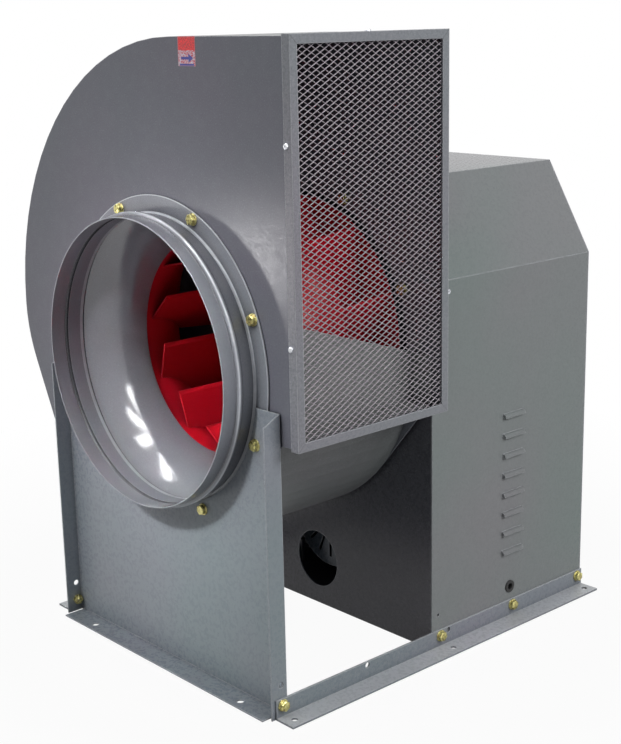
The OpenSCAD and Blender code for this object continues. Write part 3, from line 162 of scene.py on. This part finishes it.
class Finish(Shading):
    """One material: a Principled shader and what feeds it."""

    def __init__(self, name, metallic=0.0, coat=0.0, coat_roughness=0.1, specular=0.5):
        self.material = bpy.data.materials.new(name)
        self.material.use_nodes = True
        super().__init__(self.material.node_tree)
        self.shader = self.tree.nodes["Principled BSDF"]
        self.shader.inputs["Metallic"].default_value = metallic
        self.shader.inputs["Coat Weight"].default_value = coat
        self.shader.inputs["Coat Roughness"].default_value = coat_roughness
        self.shader.inputs["Specular IOR Level"].default_value = specular
        self.place = self.node("ShaderNodeTexCoord", out="Object")

    def noise(self, scale, detail=2.0, stretch=(1, 1, 1), roughness=0.5):
        place = self.place
        if stretch != (1, 1, 1):
            place = self.node("ShaderNodeMapping", {"Vector": place, "Scale": stretch})
        sockets = {"Vector": place, "Scale": scale, "Detail": detail, "Roughness": roughness}
        return self.node("ShaderNodeTexNoise", sockets)

    def band(self, amount, stops):
        return self.node("ShaderNodeValToRGB", {"Fac": amount}, stops=stops)

    def mix(self, share, one, other):
        return self.node("ShaderNodeMix", {0: share, 6: one, 7: other}, out=2, data_type="RGBA")

    def split(self, vector):
        """The X, Y and Z of a vector."""
        made = self.tree.nodes.new("ShaderNodeSeparateXYZ")
        self.tree.links.new(vector.socket, made.inputs[0])
        return [Amount(self, socket) for socket in made.outputs]

    def axes(self):
        return self.split(self.place)

    def edges(self, width):
        """Rounded normals along the folds, and how far they lean from the flat ones."""
        rounded = self.node("ShaderNodeBevel", {"Radius": width}, samples=4)
        flat = self.node("ShaderNodeNewGeometry", out="Normal")
        likeness = self.node("ShaderNodeVectorMath", {0: rounded, 1: flat}, out="Value",
                             operation="DOT_PRODUCT")
        return rounded, 1 - likeness

    def upward(self):
        """1 on faces that look up, where painted top light and dust go."""
        _, _, height = self.split(self.node("ShaderNodeNewGeometry", out="Normal"))
        return self.band(height, [(0.6, 0.0), (0.9, 1.0)])

    def corners(self, reach, stops):
        """Where other sheets stand close: the share of painted shade and dirt there."""
        open_share = self.node("ShaderNodeAmbientOcclusion", {"Distance": reach}, out="AO", samples=5)
        return self.band(open_share, stops)

    def bump(self, height, depth, strength, normal=None):
        sockets = {"Height": height, "Distance": depth, "Strength": strength}
        if normal:
            sockets["Normal"] = normal
        return self.node("ShaderNodeBump", sockets)

    def feed(self, **values):
        """Links or sets the shader's sockets, as in base_color=..., and gives back the material."""
        for name, value in values.items():
            socket = self.shader.inputs[name.replace("_", " ").title()]
            if isinstance(value, Amount):
                self.tree.links.new(value.socket, socket)
            else:
                socket.default_value = value
        return self.material


def linear(red, green, blue):
    """A colour as a paint card gives it, 0 to 255, in the renderer's scale."""
    parts = [c / 255 for c in (red, green, blue)]
    return tuple(c / 12.92 if c < 0.04045 else ((c + 0.055) / 1.055) ** 2.4 for c in parts) + (1.0,)


def times(colour, tint):
    """A colour times three factors, no part of it above 1."""
    return tuple(min(1, c * t) for c, t in zip(colour, tint)) + (1,)


# Dirt, wear and marks on the paint, and colours for painted shade, painted highlights and painted top light
DUST_AND_TOP_LIGHT = linear(206, 208, 212)
DARK_FLECK = linear(62, 62, 66)
MOTTLE = linear(170, 172, 176)
EDGE_HIGHLIGHT_AND_RUBBED_PAINT = linear(214, 217, 222)
CORNER_SHADE_AND_GRIME = linear(44, 44, 50)
DEEP_SHADE = linear(30, 30, 36)
PAINTED_HIGHLIGHT_LINE = linear(226, 230, 236)
SEAM = linear(48, 48, 52)


# Finishes
def painted_sheet(name, colour, fleck=1.0, gloss=0.28, specular=0.25, fold=0.0013, edge_light_and_wear=0.5, corner_shade_and_grime=0.6,
                  top_light_and_dust=0.0, shade=0.0, dents=0.0, pale=None, marks=None):
    """Semi-gloss grey coat on sheet steel: fine flecks, an orange-peel skin and folds lightened by a painted
    highlight mixed with rubbed paint; where asked, painted shade with grime in corners, painted top light
    with dust, deeper painted shade and painted highlight lines.
    """
    paint = Finish(name, specular=specular)
    cloud = paint.band(paint.noise(2.3, 3.0), [(0.36, 0.0), (0.64, 1.0)])
    mottle = paint.noise(75, 3.0)
    flecks = paint.noise(520, roughness=0.7)
    lilac, green = (1.05, 0.98, 1.04), (0.93, 1.01, 1.0)
    tone = paint.mix(cloud, times(colour, lilac), times(colour, green))
    light = paint.band(flecks, [(0.56, 0.0), (0.72, 1.0)])
    dark = paint.band(flecks, [(0.28, 1.0), (0.44, 0.0)])
    tone = paint.mix(light * (0.20 * fleck), tone, DUST_AND_TOP_LIGHT)
    tone = paint.mix(dark * (0.26 * fleck), tone, DARK_FLECK)
    tone = paint.mix(paint.band(mottle, [(0.45, 0.0), (0.7, 1.0)]) * (0.05 * fleck), tone, MOTTLE)
    # Painted highlight along the folds, mixed with paint rubbed thin there
    rounded, lean = paint.edges(fold)
    edge_highlight_and_wear_mask = paint.band(lean, [(0.04, 0.0), (0.2, 1.0)])
    tone = paint.mix(edge_highlight_and_wear_mask * (edge_light_and_wear * 0.7 + edge_light_and_wear * 0.6 * paint.noise(140)), tone, EDGE_HIGHLIGHT_AND_RUBBED_PAINT)
    # Painted shade in corners where sheets meet, standing also for grime
    if corner_shade_and_grime:
        tone = paint.mix(paint.corners(0.016, [(0.3, 1.0), (0.72, 0.0)]) * corner_shade_and_grime, tone, CORNER_SHADE_AND_GRIME)
    # Painted top light on faces that look up, with dust
    if top_light_and_dust:
        tone = paint.mix(paint.upward() * top_light_and_dust, tone, DUST_AND_TOP_LIGHT)
    if shade:
        tone = paint.mix(paint.corners(0.15, [(0.35, 1.0), (0.85, 0.0)]) * shade, tone, DEEP_SHADE)
    # Painted highlight lines, as on the spigot's bead and flange
    if pale:
        tone = paint.mix(pale(paint), tone, PAINTED_HIGHLIGHT_LINE)
    orange_peel = paint.noise(430)
    depth = orange_peel * 0.7 + mottle * 0.4
    if dents:
        depth = depth + paint.noise(24) * dents
    if marks:
        line = marks(paint)
        tone = paint.mix(line * 0.6, tone, SEAM)
        depth = depth - line * 2.0
    rough = paint.noise(190) * 0.16 + (gloss - 0.08)
    return paint.feed(base_color=tone, roughness=rough, normal=paint.bump(depth, 0.00022, 0.55, rounded))


def mitre_lines(paint):
    """The frame's four mitred corners: a thin line from each outer corner inwards."""
    half_line, frame_leg, frame_face_x = 0.00035, 0.0118, 0.2795
    x, y, z = paint.axes()
    along = (y - FRAME_Y[0]).least(FRAME_Y[1] - y)
    up = (z - FRAME_Z[0]).least(FRAME_Z[1] - z)
    return (abs(along - up) < half_line) * (along.most(up) < frame_leg) * (x > frame_face_x)


def bead_highlights(paint):
    """Painted highlights on the spigot's bead, on the bend into its flange and on the flange's rim."""
    bead_y, bend_y, bend_radius, rim_radius = -0.3342, -0.3084, 0.2022, 0.2236
    x, y, z = paint.axes()
    up = z - AXIS_Z
    around = x * x + up * up
    crest = paint.band(abs(y - bead_y) * 500, [(0.2, 1.0), (0.75, 0.0)])
    bend = (y > bend_y) * (around < bend_radius ** 2)
    rim = around > rim_radius ** 2
    return crest.most(bend).most(rim) * (0.35 + 0.4 * paint.noise(60, 3.0))


def red_coat():
    """Gloss red on the impeller, with painted shade in its corners and deep inside it, and a little dusty on
    its faces.
    """
    paint = Finish("impeller_red", specular=0.2)
    cloud = paint.noise(9, 3.0)
    tone = paint.mix(cloud, linear(214, 22, 40), linear(232, 32, 52))
    # Painted shade: darker red in the corners and, further, deep inside the impeller
    tone = paint.mix(paint.corners(0.03, [(0.25, 1.0), (0.9, 0.0)]) * 0.4, tone, linear(74, 8, 14))
    tone = paint.mix(paint.corners(0.22, [(0.05, 1.0), (0.7, 0.0)]) * 0.55, tone, linear(52, 10, 16))
    specks = paint.band(paint.noise(620), [(0.66, 0.0), (0.78, 1.0)])
    tone = paint.mix(specks * 0.25, tone, linear(235, 120, 120))
    rounded, lean = paint.edges(0.0009)
    tone = paint.mix(paint.band(lean, [(0.05, 0.0), (0.3, 1.0)]) * 0.5, tone, linear(232, 74, 80))
    depth = paint.noise(300) + paint.noise(60) * 1.2
    rough = cloud * 0.1 + 0.26
    return paint.feed(base_color=tone, roughness=rough, normal=paint.bump(depth, 0.0002, 0.5, rounded))


def zinc(name, light, dark, tint, roughness, metallic=0.85):
    """Passivated zinc: a clouded metal skin with a second tint in patches and pale worn corners."""
    metal = Finish(name, metallic=metallic)
    cloud = metal.noise(260, 3.0)
    patches = metal.band(metal.noise(140), [(0.5, 0.0), (0.7, 1.0)])
    tone = metal.mix(metal.band(cloud, [(0.35, 0.0), (0.65, 1.0)]), dark, light)
    tone = metal.mix(patches * 0.5, tone, tint)
    rounded, lean = metal.edges(0.0005)
    tone = metal.mix(metal.band(lean, [(0.05, 0.0), (0.3, 1.0)]) * 0.6, tone, linear(236, 236, 230))
    grain = metal.bump(metal.noise(900), 0.0001, 0.4, rounded)
    return metal.feed(base_color=tone, roughness=cloud * 0.2 + (roughness - 0.1), normal=grain)


def turned_steel(name, colour, rings=2600.0, roughness=0.24):
    """Bright turned steel: fine tool lines round the Y axis, with a faint stain."""
    metal = Finish(name, metallic=1.0)
    stain = metal.noise(30, 3.0)
    tone = metal.mix(stain, times(colour, (0.8, 0.8, 0.8)), colour)
    lines = metal.noise(rings, 1.0, stretch=(0.02, 1, 0.02))
    rounded, _ = metal.edges(0.0004)
    grain = metal.bump(lines, 0.00004, 0.5, rounded)
    return metal.feed(base_color=tone, roughness=stain * 0.12 + (roughness - 0.06), normal=grain)


def cast_metal(name, colour, coarse, metallic, roughness):
    """Painted or bare casting: pebbled sand skin, darker pits and rubbed edges."""
    metal = Finish(name, metallic=metallic)
    pebbles = metal.noise(coarse, 4.0, roughness=0.65)
    darker, lighter = times(colour, (0.85, 0.85, 0.85)), times(colour, (1.12, 1.12, 1.12))
    tone = metal.mix(metal.noise(12, 3.0), darker, lighter)
    tone = metal.mix(metal.band(pebbles, [(0.3, 1.0), (0.48, 0.0)]) * 0.45, tone, linear(38, 40, 44))
    rounded, lean = metal.edges(0.0012)
    tone = metal.mix(metal.band(lean, [(0.05, 0.0), (0.3, 1.0)]) * 0.4, tone, linear(178, 182, 186))
    skin = metal.bump(pebbles, 0.0004, 0.5, rounded)
    return metal.feed(base_color=tone, roughness=pebbles * 0.25 + (roughness - 0.12), normal=skin)


def soft_black(name, colour, grain, roughness):
    """Rubber or moulded plastic: fine grain, with greyish bloom."""
    skin = Finish(name)
    bloom = skin.band(skin.noise(22, 4.0), [(0.45, 0.0), (0.75, 1.0)])
    tone = skin.mix(bloom * 0.2, colour, linear(70, 70, 72))
    fine = skin.noise(grain, 3.0)
    rounded, _ = skin.edges(0.0005)
    grain_bump = skin.bump(fine, 0.0002, 0.5, rounded)
    return skin.feed(base_color=tone, roughness=fine * 0.16 + (roughness - 0.08), normal=grain_bump)


def copper_winding():
    """Lacquered windings and laminations: fine rings round the Y axis in copper and brown."""
    coil = Finish("stator_winding", metallic=0.5, coat=0.4)
    lines = coil.noise(900, stretch=(0.1, 1, 0.1))
    copper = coil.band(lines, [(0.4, 0.0), (0.6, 1.0)])
    tone = coil.mix(copper, linear(104, 54, 26), linear(186, 108, 58))
    rounded, _ = coil.edges(0.0006)
    turns = coil.bump(lines, 0.0003, 0.6, rounded)
    return coil.feed(base_color=tone, roughness=lines * 0.2 + 0.3, normal=turns)


def pressed_fibre():
    """Heat-proof fibre board: pale matted strands with darker ends."""
    board = Finish("seal_fibre")
    strands = board.noise(420, 4.0, stretch=(1, 0.35, 1), roughness=0.7)
    tone = board.mix(strands, linear(140, 138, 130), linear(186, 184, 176))
    rounded, _ = board.edges(0.0006)
    matting = board.bump(strands, 0.0004, 0.6, rounded)
    return board.feed(base_color=tone, roughness=strands * 0.1 + 0.8, normal=matting)


def label_print():
    """A rotation sticker without words: a plain red half over a white one with an arrow and an underline."""
    foil = Finish("label_print", coat=0.3)
    x, _, z = foil.axes()
    across = (x - LABEL_X[0]) * (1 / (LABEL_X[1] - LABEL_X[0]))
    up = (z - LABEL_Z[0]) * (1 / (LABEL_Z[1] - LABEL_Z[0]))
    grain = foil.noise(1500)
    red_dots = foil.band(foil.noise(500), [(0.4, 0.0), (0.6, 1.0)])
    upper = foil.mix(red_dots, linear(196, 16, 26), linear(255, 30, 36))
    pink_dots = foil.band(foil.noise(700), [(0.46, 0.0), (0.56, 1.0)])
    lower = foil.mix(pink_dots, linear(206, 70, 84), linear(214, 208, 222))
    middle = abs(up - 0.27)
    shaft = (middle < 0.045) * (across > 0.18) * (across < 0.62)
    head = (middle + (across - 0.62) * 0.55 < 0.14) * (across > 0.6) * (across < 0.9)
    under = (up < 0.085) * (across > 0.08) * (across < 0.92)
    lower = foil.mix(shaft.most(head).most(under), lower, linear(40, 44, 150))
    tone = foil.mix(up > 0.53, lower, upper)
    rim = across.least(1 - across).least(up.least(1 - up)) < 0.03
    tone = foil.mix(rim * 0.5, tone, linear(190, 150, 156))
    return foil.feed(base_color=tone, roughness=grain * 0.15 + 0.3, normal=foil.bump(grain, 0.00005, 0.4))


# Which piece has which finish
FOLDED = 0.002
looks = {}


def dress(material, *names):
    for name in names:
        looks[name] = material


dress(painted_sheet("casing_grey", linear(113, 114, 122), fleck=0.7, gloss=0.2),
      "front_plate", "back_plate", "base_tray", "housing_rear_cover")
dress(painted_sheet("wrap_grey", linear(114, 116, 116), gloss=0.34), "scroll_wrap")
# The rear panel's grey is darker than the casing's as painted shade, for the shade it stands in under the
# casing
dress(painted_sheet("panel_grey_painted_shade", linear(82, 81, 87), fold=FOLDED, edge_light_and_wear=1.0), "rear_panel")
dress(painted_sheet("housing_grey", linear(132, 137, 136), fleck=0.7, specular=0.15, fold=FOLDED, edge_light_and_wear=0.9,
                    corner_shade_and_grime=0.1),
      "housing_side_left", "housing_side_right", "housing_roof")
dress(painted_sheet("support_grey", linear(141, 147, 153), fleck=0.6, fold=FOLDED, edge_light_and_wear=0.9), "front_support")
dress(painted_sheet("cutoff_grey", linear(142, 144, 142), fold=FOLDED, edge_light_and_wear=1.0), "cutoff_plate")
dress(painted_sheet("cone_grey", linear(128, 132, 138), fleck=0.4, gloss=0.14, specular=1.0, shade=0.75,
                    dents=3.4),
      "inlet_cone")
dress(painted_sheet("spigot_grey", linear(150, 154, 160), fleck=0.5, gloss=0.18, specular=0.6, edge_light_and_wear=0.6,
                    shade=0.8, pale=bead_highlights),
      "inlet_spigot")
dress(painted_sheet("rail_grey", linear(138, 144, 150), fold=FOLDED, edge_light_and_wear=0.9, top_light_and_dust=0.6),
      "rail_left", "rail_right")
dress(painted_sheet("frame_grey", linear(136, 137, 142), fold=FOLDED, edge_light_and_wear=0.9, marks=mitre_lines),
      "outlet_frame")
dress(painted_sheet("console_grey", linear(112, 115, 119), gloss=0.42), "bearing_console", "motor_plate")
dress(painted_sheet("cowl_grey", linear(74, 82, 90)), "motor_fan_cowl")
dress(red_coat(), "impeller_back_disc", "impeller_shroud", "impeller_blades", "impeller_hub")
dress(zinc("guard_zinc", light=linear(150, 143, 152), dark=linear(112, 104, 114), tint=linear(136, 124, 142),
           roughness=0.5, metallic=0.3),
      "outlet_guard")
dress(zinc("yellow_zinc", light=linear(222, 215, 146), dark=linear(152, 144, 84), tint=linear(196, 170, 116),
           roughness=0.28, metallic=0.7),
      "inlet_bolts", "rail_bolts", "rear_panel_bolts", "shaft_end_screw")
dress(zinc("white_zinc", light=linear(232, 233, 236), dark=linear(186, 188, 194), tint=linear(206, 210, 224),
           roughness=0.3),
      "outlet_frame_screws", "housing_screws", "console_bolts", "block_bolts", "hub_bolts", "tension_screws",
      "motor_foot_bolts", "motor_plate_pin")
dress(turned_steel("bright_steel", linear(205, 207, 211)),
      "bearing_outer_rings", "bearing_inner_rings", "bearing_ball_rows", "fan_shaft", "shaft_keys",
      "motor_bearings", "motor_shaft", "motor_rotor_core")
dress(cast_metal("block_green", linear(84, 104, 112), coarse=700, metallic=0.0, roughness=0.5),
      "bearing_blocks")
dress(cast_metal("pulley_iron", linear(112, 114, 118), coarse=900, metallic=0.7, roughness=0.42),
      "fan_pulley", "fan_pulley_bush", "motor_pulley")
dress(cast_metal("motor_grey", linear(74, 82, 92), coarse=800, metallic=0.0, roughness=0.44),
      "motor_frame", "motor_drive_shield", "motor_rear_shield", "motor_terminal_box", "motor_terminal_lid")
dress(cast_metal("cooling_aluminium", linear(204, 206, 210), coarse=1100, metallic=0.9, roughness=0.36),
      "cooling_disc")
dress(copper_winding(), "motor_stator")
dress(soft_black("belt_rubber", linear(34, 34, 36), grain=900, roughness=0.7), "v_belts")
dress(soft_black("grommet_rubber", linear(9, 9, 10), grain=1400, roughness=0.6), "cable_grommet")
dress(soft_black("fan_plastic", linear(44, 46, 50), grain=1200, roughness=0.5), "motor_cooling_fan")
dress(pressed_fibre(), "gasket_ring", "shaft_seal")

for name, part in nodes.items():
    for slot in part.material_slots:
        slot.material = looks[name]


# New pieces
def as_object(name, mesh, material):
    """An object at the origin, with its place in its mesh."""
    data = bpy.data.meshes.new(name)
    mesh.to_mesh(data)
    mesh.free()
    data.materials.append(material)
    piece = bpy.data.objects.new(name, data)
    bpy.context.scene.collection.objects.link(piece)
    return piece


def finished(name, mesh, material, body="casing_and_housing", replaces=(), smooth=None):
    """A piece that rides on a body and may replace CAD pieces; faces that meet below an angle are smooth."""
    bmesh.ops.recalc_face_normals(mesh, faces=mesh.faces)
    piece = as_object(name, mesh, material)
    if smooth:
        piece.data.set_sharp_from_angle(angle=math.radians(smooth))
    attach(piece, body)
    if replaces:
        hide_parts(*replaces)


def facing(place, along, turn=0.0):
    """A place whose own +Z points along a direction, turned about it."""
    aimed = Vector(along).to_track_quat("Z", "Y").to_matrix().to_4x4()
    return Matrix.Translation(place) @ aimed @ Matrix.Rotation(turn, 4, "Z")


def new_points(made):
    """The points among what an extrusion gives back."""
    return [item for item in made["geom"] if isinstance(item, bmesh.types.BMVert)]


def expanded_guard():
    """Slit and drawn sheet: diamonds with tilted strands, cut to the duct's opening."""
    diamond_long, diamond_short = 0.0143, 0.00803
    strand, sheet, tilt = 0.00098, 0.0008, math.radians(11)
    cells, margin = 96, 0.0004
    low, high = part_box("outlet_guard")
    mesh = bmesh.new()
    bmesh.ops.create_grid(mesh, x_segments=cells, y_segments=cells, size=cells / math.sqrt(2) / 2,
                          matrix=Matrix.Rotation(math.radians(45), 4, "Z"))
    bmesh.ops.scale(mesh, vec=(diamond_long, diamond_short, 1), verts=mesh.verts)
    upright = Matrix(((0, 0, 1, 0), (1, 0, 0, 0), (0, 1, 0, 0), (0, 0, 0, 1)))
    bmesh.ops.transform(mesh, matrix=Matrix.Translation((low + high) / 2) @ upright, verts=mesh.verts)
    for side, corner in ((1, high), (-1, low)):
        for axis in ((0, side, 0), (0, 0, side)):
            bmesh.ops.bisect_plane(mesh, geom=mesh.verts[:] + mesh.edges[:] + mesh.faces[:],
                                   plane_co=corner - Vector(axis) * margin, plane_no=axis, clear_outer=True)
    smallest_hole = 0.3 * diamond_long * diamond_short / 2
    holes = [face for face in mesh.faces if face.calc_area() > smallest_hole]
    bmesh.ops.inset_individual(mesh, faces=holes, thickness=strand / 2, use_even_offset=True)
    for hole in holes:
        bmesh.ops.rotate(mesh, verts=hole.verts, cent=hole.calc_center_median(),
                         matrix=Matrix.Rotation(tilt, 3, "Y"))
    bmesh.ops.delete(mesh, geom=holes, context="FACES")
    bmesh.ops.recalc_face_normals(mesh, faces=mesh.faces)
    bmesh.ops.solidify(mesh, geom=mesh.faces[:], thickness=sheet)
    for vert in mesh.verts:
        for axis in (1, 2):
            vert.co[axis] = min(max(vert.co[axis], low[axis]), high[axis])
    finished("expanded_guard", mesh, looks["outlet_guard"], replaces=["outlet_guard"])


def add_turned(mesh, place, sides, radius, low, high, rim=0.0, steps=2):
    """A disc, shank or hexagon between two heights, with the edges of its upper face broken."""
    middle = place @ Matrix.Translation((0, 0, (low + high) / 2))
    made = bmesh.ops.create_cone(mesh, cap_ends=True, segments=sides, radius1=radius, radius2=radius,
                                 depth=high - low, matrix=middle)
    if rim:
        up = (place.to_3x3() @ Vector((0, 0, 1))).normalized()
        top = place @ Vector((0, 0, high))
        edges = {edge for vert in made["verts"] for edge in vert.link_edges}
        upper = [edge for edge in edges if all(abs((vert.co - top).dot(up)) < 1e-6 for vert in edge.verts)]
        bmesh.ops.bevel(mesh, geom=upper, offset=rim, segments=steps, profile=0.5, affect="EDGES",
                        material=-1)


def add_hexagon(mesh, place, low, high, across=0.013):
    """A hexagon head or nut with its corners turned off on the outer side."""
    add_turned(mesh, place, 6, across / math.sqrt(3), low, high, rim=0.0009, steps=3)


def add_bolt(mesh, place, shank, nut=None):
    """A hexagon bolt with its washer: the head is over the seat at 0, and a nut may sit that far below it."""
    add_turned(mesh, place, 32, 0.0084, 0, 0.0016, rim=0.0004)
    add_turned(mesh, place, 32, 0.0064, 0.0015, 0.0021, rim=0.0002)
    add_hexagon(mesh, place, 0.0020, 0.0069)
    add_turned(mesh, place, 24, 0.004, -shank, 0.0016)
    if nut is not None:
        behind = place @ Matrix.Rotation(math.pi, 4, "X") @ Matrix.Rotation(0.4, 4, "Z")
        add_hexagon(mesh, behind, nut, nut + 0.0065)


def inlet_bolts():
    """Eight round the spigot's flange; the lower four also hold the support plate."""
    flange_seat_y, support_seat_y = -0.305, -0.307
    mesh = bmesh.new()
    for i in range(8):
        angle = math.radians(22.5 + 45 * i)
        seat = flange_seat_y if i < 4 else support_seat_y
        place = (BOLT_CIRCLE * math.cos(angle), seat, AXIS_Z + BOLT_CIRCLE * math.sin(angle))
        add_bolt(mesh, facing(place, (0, -1, 0), 0.5 * i), shank=FRONT_PLATE_BACK_Y - seat)
    finished("inlet_bolt_set", mesh, looks["inlet_bolts"], replaces=["inlet_bolts"],
             smooth=30)


def rail_bolts():
    """Four through each base rail: their places along Y, and how thick the sheets behind the rail are."""
    bolt_z, nut_and_tip = 0.019, 0.0085
    places = ((-0.315, 0.002), (-0.0093, 0.0035), (0.152, 0.003), (0.312, 0.003))
    mesh = bmesh.new()
    for side in (-1, 1):
        for i, (y, clamped) in enumerate(places):
            place = facing((side * (BASE_HALF_W + RAIL_T), y, bolt_z), (side, 0, 0), 0.35 * i)
            add_bolt(mesh, place, shank=RAIL_T + clamped + nut_and_tip, nut=RAIL_T + clamped)
    finished("rail_bolt_set", mesh, looks["rail_bolts"], replaces=["rail_bolts"],
             smooth=30)


def in_cross(face):
    """Whether a face of the screw's head lies in its cross recess."""
    half_slot, reach = 0.0003, 0.0012
    middle = face.calc_center_median()
    return min(abs(middle.x), abs(middle.y)) < half_slot and middle.to_2d().length < reach


def pan_head():
    """A domed head 2.6 mm high over its seat at 0, with a sunk cross."""
    dome, dome_radius, recess_depth = 0.0026, 0.0034, 0.0013
    head = bmesh.new()
    bmesh.ops.create_grid(head, x_segments=5, y_segments=5, size=0.0025)
    for vert in head.verts:
        if max(abs(vert.co.x), abs(vert.co.y)) > 0.0024:
            vert.co = vert.co.normalized() * dome_radius
        vert.co.z = dome - vert.co.length ** 2 * 40
    recess = [face for face in head.faces if in_cross(face)]
    bottom = new_points(bmesh.ops.extrude_face_region(head, geom=recess))
    bmesh.ops.delete(head, geom=recess, context="FACES")
    bmesh.ops.translate(head, verts=bottom, vec=(0, 0, -recess_depth))
    bmesh.ops.scale(head, verts=bottom, vec=(0.7, 0.7, 1))
    for drop, grow in ((0.0011, 1.16), (0.0011, 1.02)):
        rim = [edge for edge in head.edges if edge.is_boundary]
        lower = new_points(bmesh.ops.extrude_edge_only(head, edges=rim))
        bmesh.ops.translate(head, verts=lower, vec=(0, 0, -drop))
        bmesh.ops.scale(head, verts=lower, vec=(grow, grow, 1))
    return head


def frame_screws():
    """Pan-head screws in the outlet frame and at the front of the housing's sides."""
    frame_middle_y, frame_leg_x, heights = (FRAME_Y[0] + FRAME_Y[1]) / 2, 0.2705, (0.503, 0.751)
    seats = [((frame_leg_x, FRAME_Y[0], z), (0, -1, 0)) for z in heights]
    seats += [((frame_leg_x, FRAME_Y[1], z), (0, 1, 0)) for z in heights]
    seats += [((frame_leg_x, frame_middle_y, FRAME_Z[1]), (0, 0, 1))]
    seats += [((frame_leg_x, frame_middle_y, FRAME_Z[0]), (0, 0, -1))]
    seats += [((side * BASE_HALF_W, 0.0065, 0.528), (side, 0, 0)) for side in (-1, 1)]
    mesh = bmesh.new()
    for i, (seat, along) in enumerate(seats):
        place = facing(seat, along, 0.3 + 0.7 * i)
        head = pan_head()
        bmesh.ops.transform(head, matrix=place, verts=head.verts)
        data = bpy.data.meshes.new("screw_head")
        head.to_mesh(data)
        head.free()
        mesh.from_mesh(data)
        bpy.data.meshes.remove(data)
        add_turned(mesh, place, 16, 0.0019, -0.0016, 0.0006)
    finished("frame_screw_set", mesh, looks["outlet_frame_screws"],
             replaces=["outlet_frame_screws"], smooth=40)


def rotation_label():
    """The sticker on the front plate, a thin foil with rounded corners."""
    foil, gap, corner = 0.00028, 0.00002, 0.001
    mesh = bmesh.new()
    bmesh.ops.create_grid(mesh, x_segments=1, y_segments=1, size=0.5)
    bmesh.ops.scale(mesh, vec=(LABEL_X[1] - LABEL_X[0], LABEL_Z[1] - LABEL_Z[0], 1), verts=mesh.verts)
    bmesh.ops.bevel(mesh, geom=mesh.verts[:], offset=corner, segments=4, profile=0.5, affect="VERTICES",
                    material=-1)
    middle = (sum(LABEL_X) / 2, FRONT_Y - foil - gap, sum(LABEL_Z) / 2)
    bmesh.ops.transform(mesh, matrix=facing(middle, (0, -1, 0)), verts=mesh.verts)
    bmesh.ops.recalc_face_normals(mesh, faces=mesh.faces)
    back = new_points(bmesh.ops.extrude_face_region(mesh, geom=mesh.faces[:]))
    bmesh.ops.translate(mesh, verts=back, vec=(0, foil, 0))
    finished("rotation_label", mesh, label_print())


expanded_guard()
inlet_bolts()
rail_bolts()
frame_screws()
rotation_label()


# Floor, background and light
def stage_floor():
    """A pale floor that keeps the object's shadow and looks white to the camera."""
    pale = Finish("floor_white")
    pale.feed(base_color=(0.34, 0.34, 0.34, 1.0), roughness=0.9)
    glow = pale.node("ShaderNodeEmission", {"Color": (1, 1, 1, 1), "Strength": 1.0})
    x, y, _ = pale.axes()
    away = pale.band(abs(x).most(abs(y)) * 0.5, [(0.25, 0.0), (0.6, 1.0)])
    painted = Amount(pale, pale.shader.outputs[0])
    both = pale.node("ShaderNodeMixShader", {0: pale.seen() * (away * 0.05 + 0.95), 1: painted, 2: glow})
    pale.tree.links.new(both.socket, pale.tree.nodes["Material Output"].inputs["Surface"])
    mesh = bmesh.new()
    bmesh.ops.create_grid(mesh, x_segments=4, y_segments=4, size=7,
                          matrix=Matrix.Translation((0, 0, -0.0006)))
    floor = as_object("floor", mesh, pale.material)


def white_world(strength):
    """A world that looks white and lights the object at a given strength."""
    world = bpy.data.worlds.new("studio")
    world.use_nodes = True
    sky = Shading(world.node_tree)
    background = sky.tree.nodes["Background"]
    background.inputs["Color"].default_value = (1, 1, 1, 1)
    level = sky.seen() * (1.0 - strength) + strength
    sky.tree.links.new(level.socket, background.inputs["Strength"])
    bpy.context.scene.world = world


def lamp(name, place, aim, size, power, mirrored=True, lights=True, spread=180):
    """A softbox; some aren't mirrored in the paint, and some are only there to be mirrored in it."""
    data = bpy.data.lights.new(name, "AREA")
    data.shape = "RECTANGLE"
    data.size, data.size_y = size
    data.energy = power
    data.spread = math.radians(spread)
    light = bpy.data.objects.new(name, data)
    turn = (Vector(aim) - Vector(place)).to_track_quat("-Z", "Y").to_matrix().to_4x4()
    light.matrix_world = Matrix.Translation(place) @ turn
    light.visible_camera = False
    light.visible_glossy = mirrored
    light.visible_diffuse = lights
    bpy.context.scene.collection.objects.link(light)


# What the lamps aim at
MIDDLE = (0, 0, 0.45)
CASING = (0, -0.2, 0.4)
INLET = (0, -0.26, 0.33)
CEILING = ((-1.5, -1.2, 2.8), (-0.1, -1.05, 3.0), (0.62, -1.2, 2.9), (1.7, -1.1, 2.8))

stage_floor()
white_world(0.15)
lamp("right_softbox", (3.0, 0.4, 2.1), MIDDLE, size=(1.6, 1.4), power=62)
lamp("front_softbox", (-0.7, -2.8, 2.7), CASING, size=(2.4, 1.8), power=38, mirrored=False)
lamp("left_softbox", (-3.2, 0.6, 1.7), MIDDLE, size=(1.6, 1.4), power=40, mirrored=False)
lamp("back_softbox", (-0.6, 3.4, 2.0), MIDDLE, size=(1.6, 1.4), power=46, mirrored=False)
lamp("top_softbox", (0.2, -1.1, 2.9), CASING, size=(1.6, 0.8), power=8, mirrored=False)
lamp("inlet_light", (0.15, -2.3, 2.1), INLET, size=(0.3, 0.3), power=0.5, mirrored=False, spread=14)
lamp("low_left_panel", (-1.86, -1.98, 0.14), (0.2, -0.3, 0.57), size=(0.18, 0.24), power=4, lights=False)
for i, place in enumerate(CEILING):
    lamp(f"ceiling_lamp_{i + 1}", place, (0, -0.3, 0.4), size=(0.5, 2.0), power=46, lights=False)

bpy.context.scene.view_settings.view_transform = "Standard"
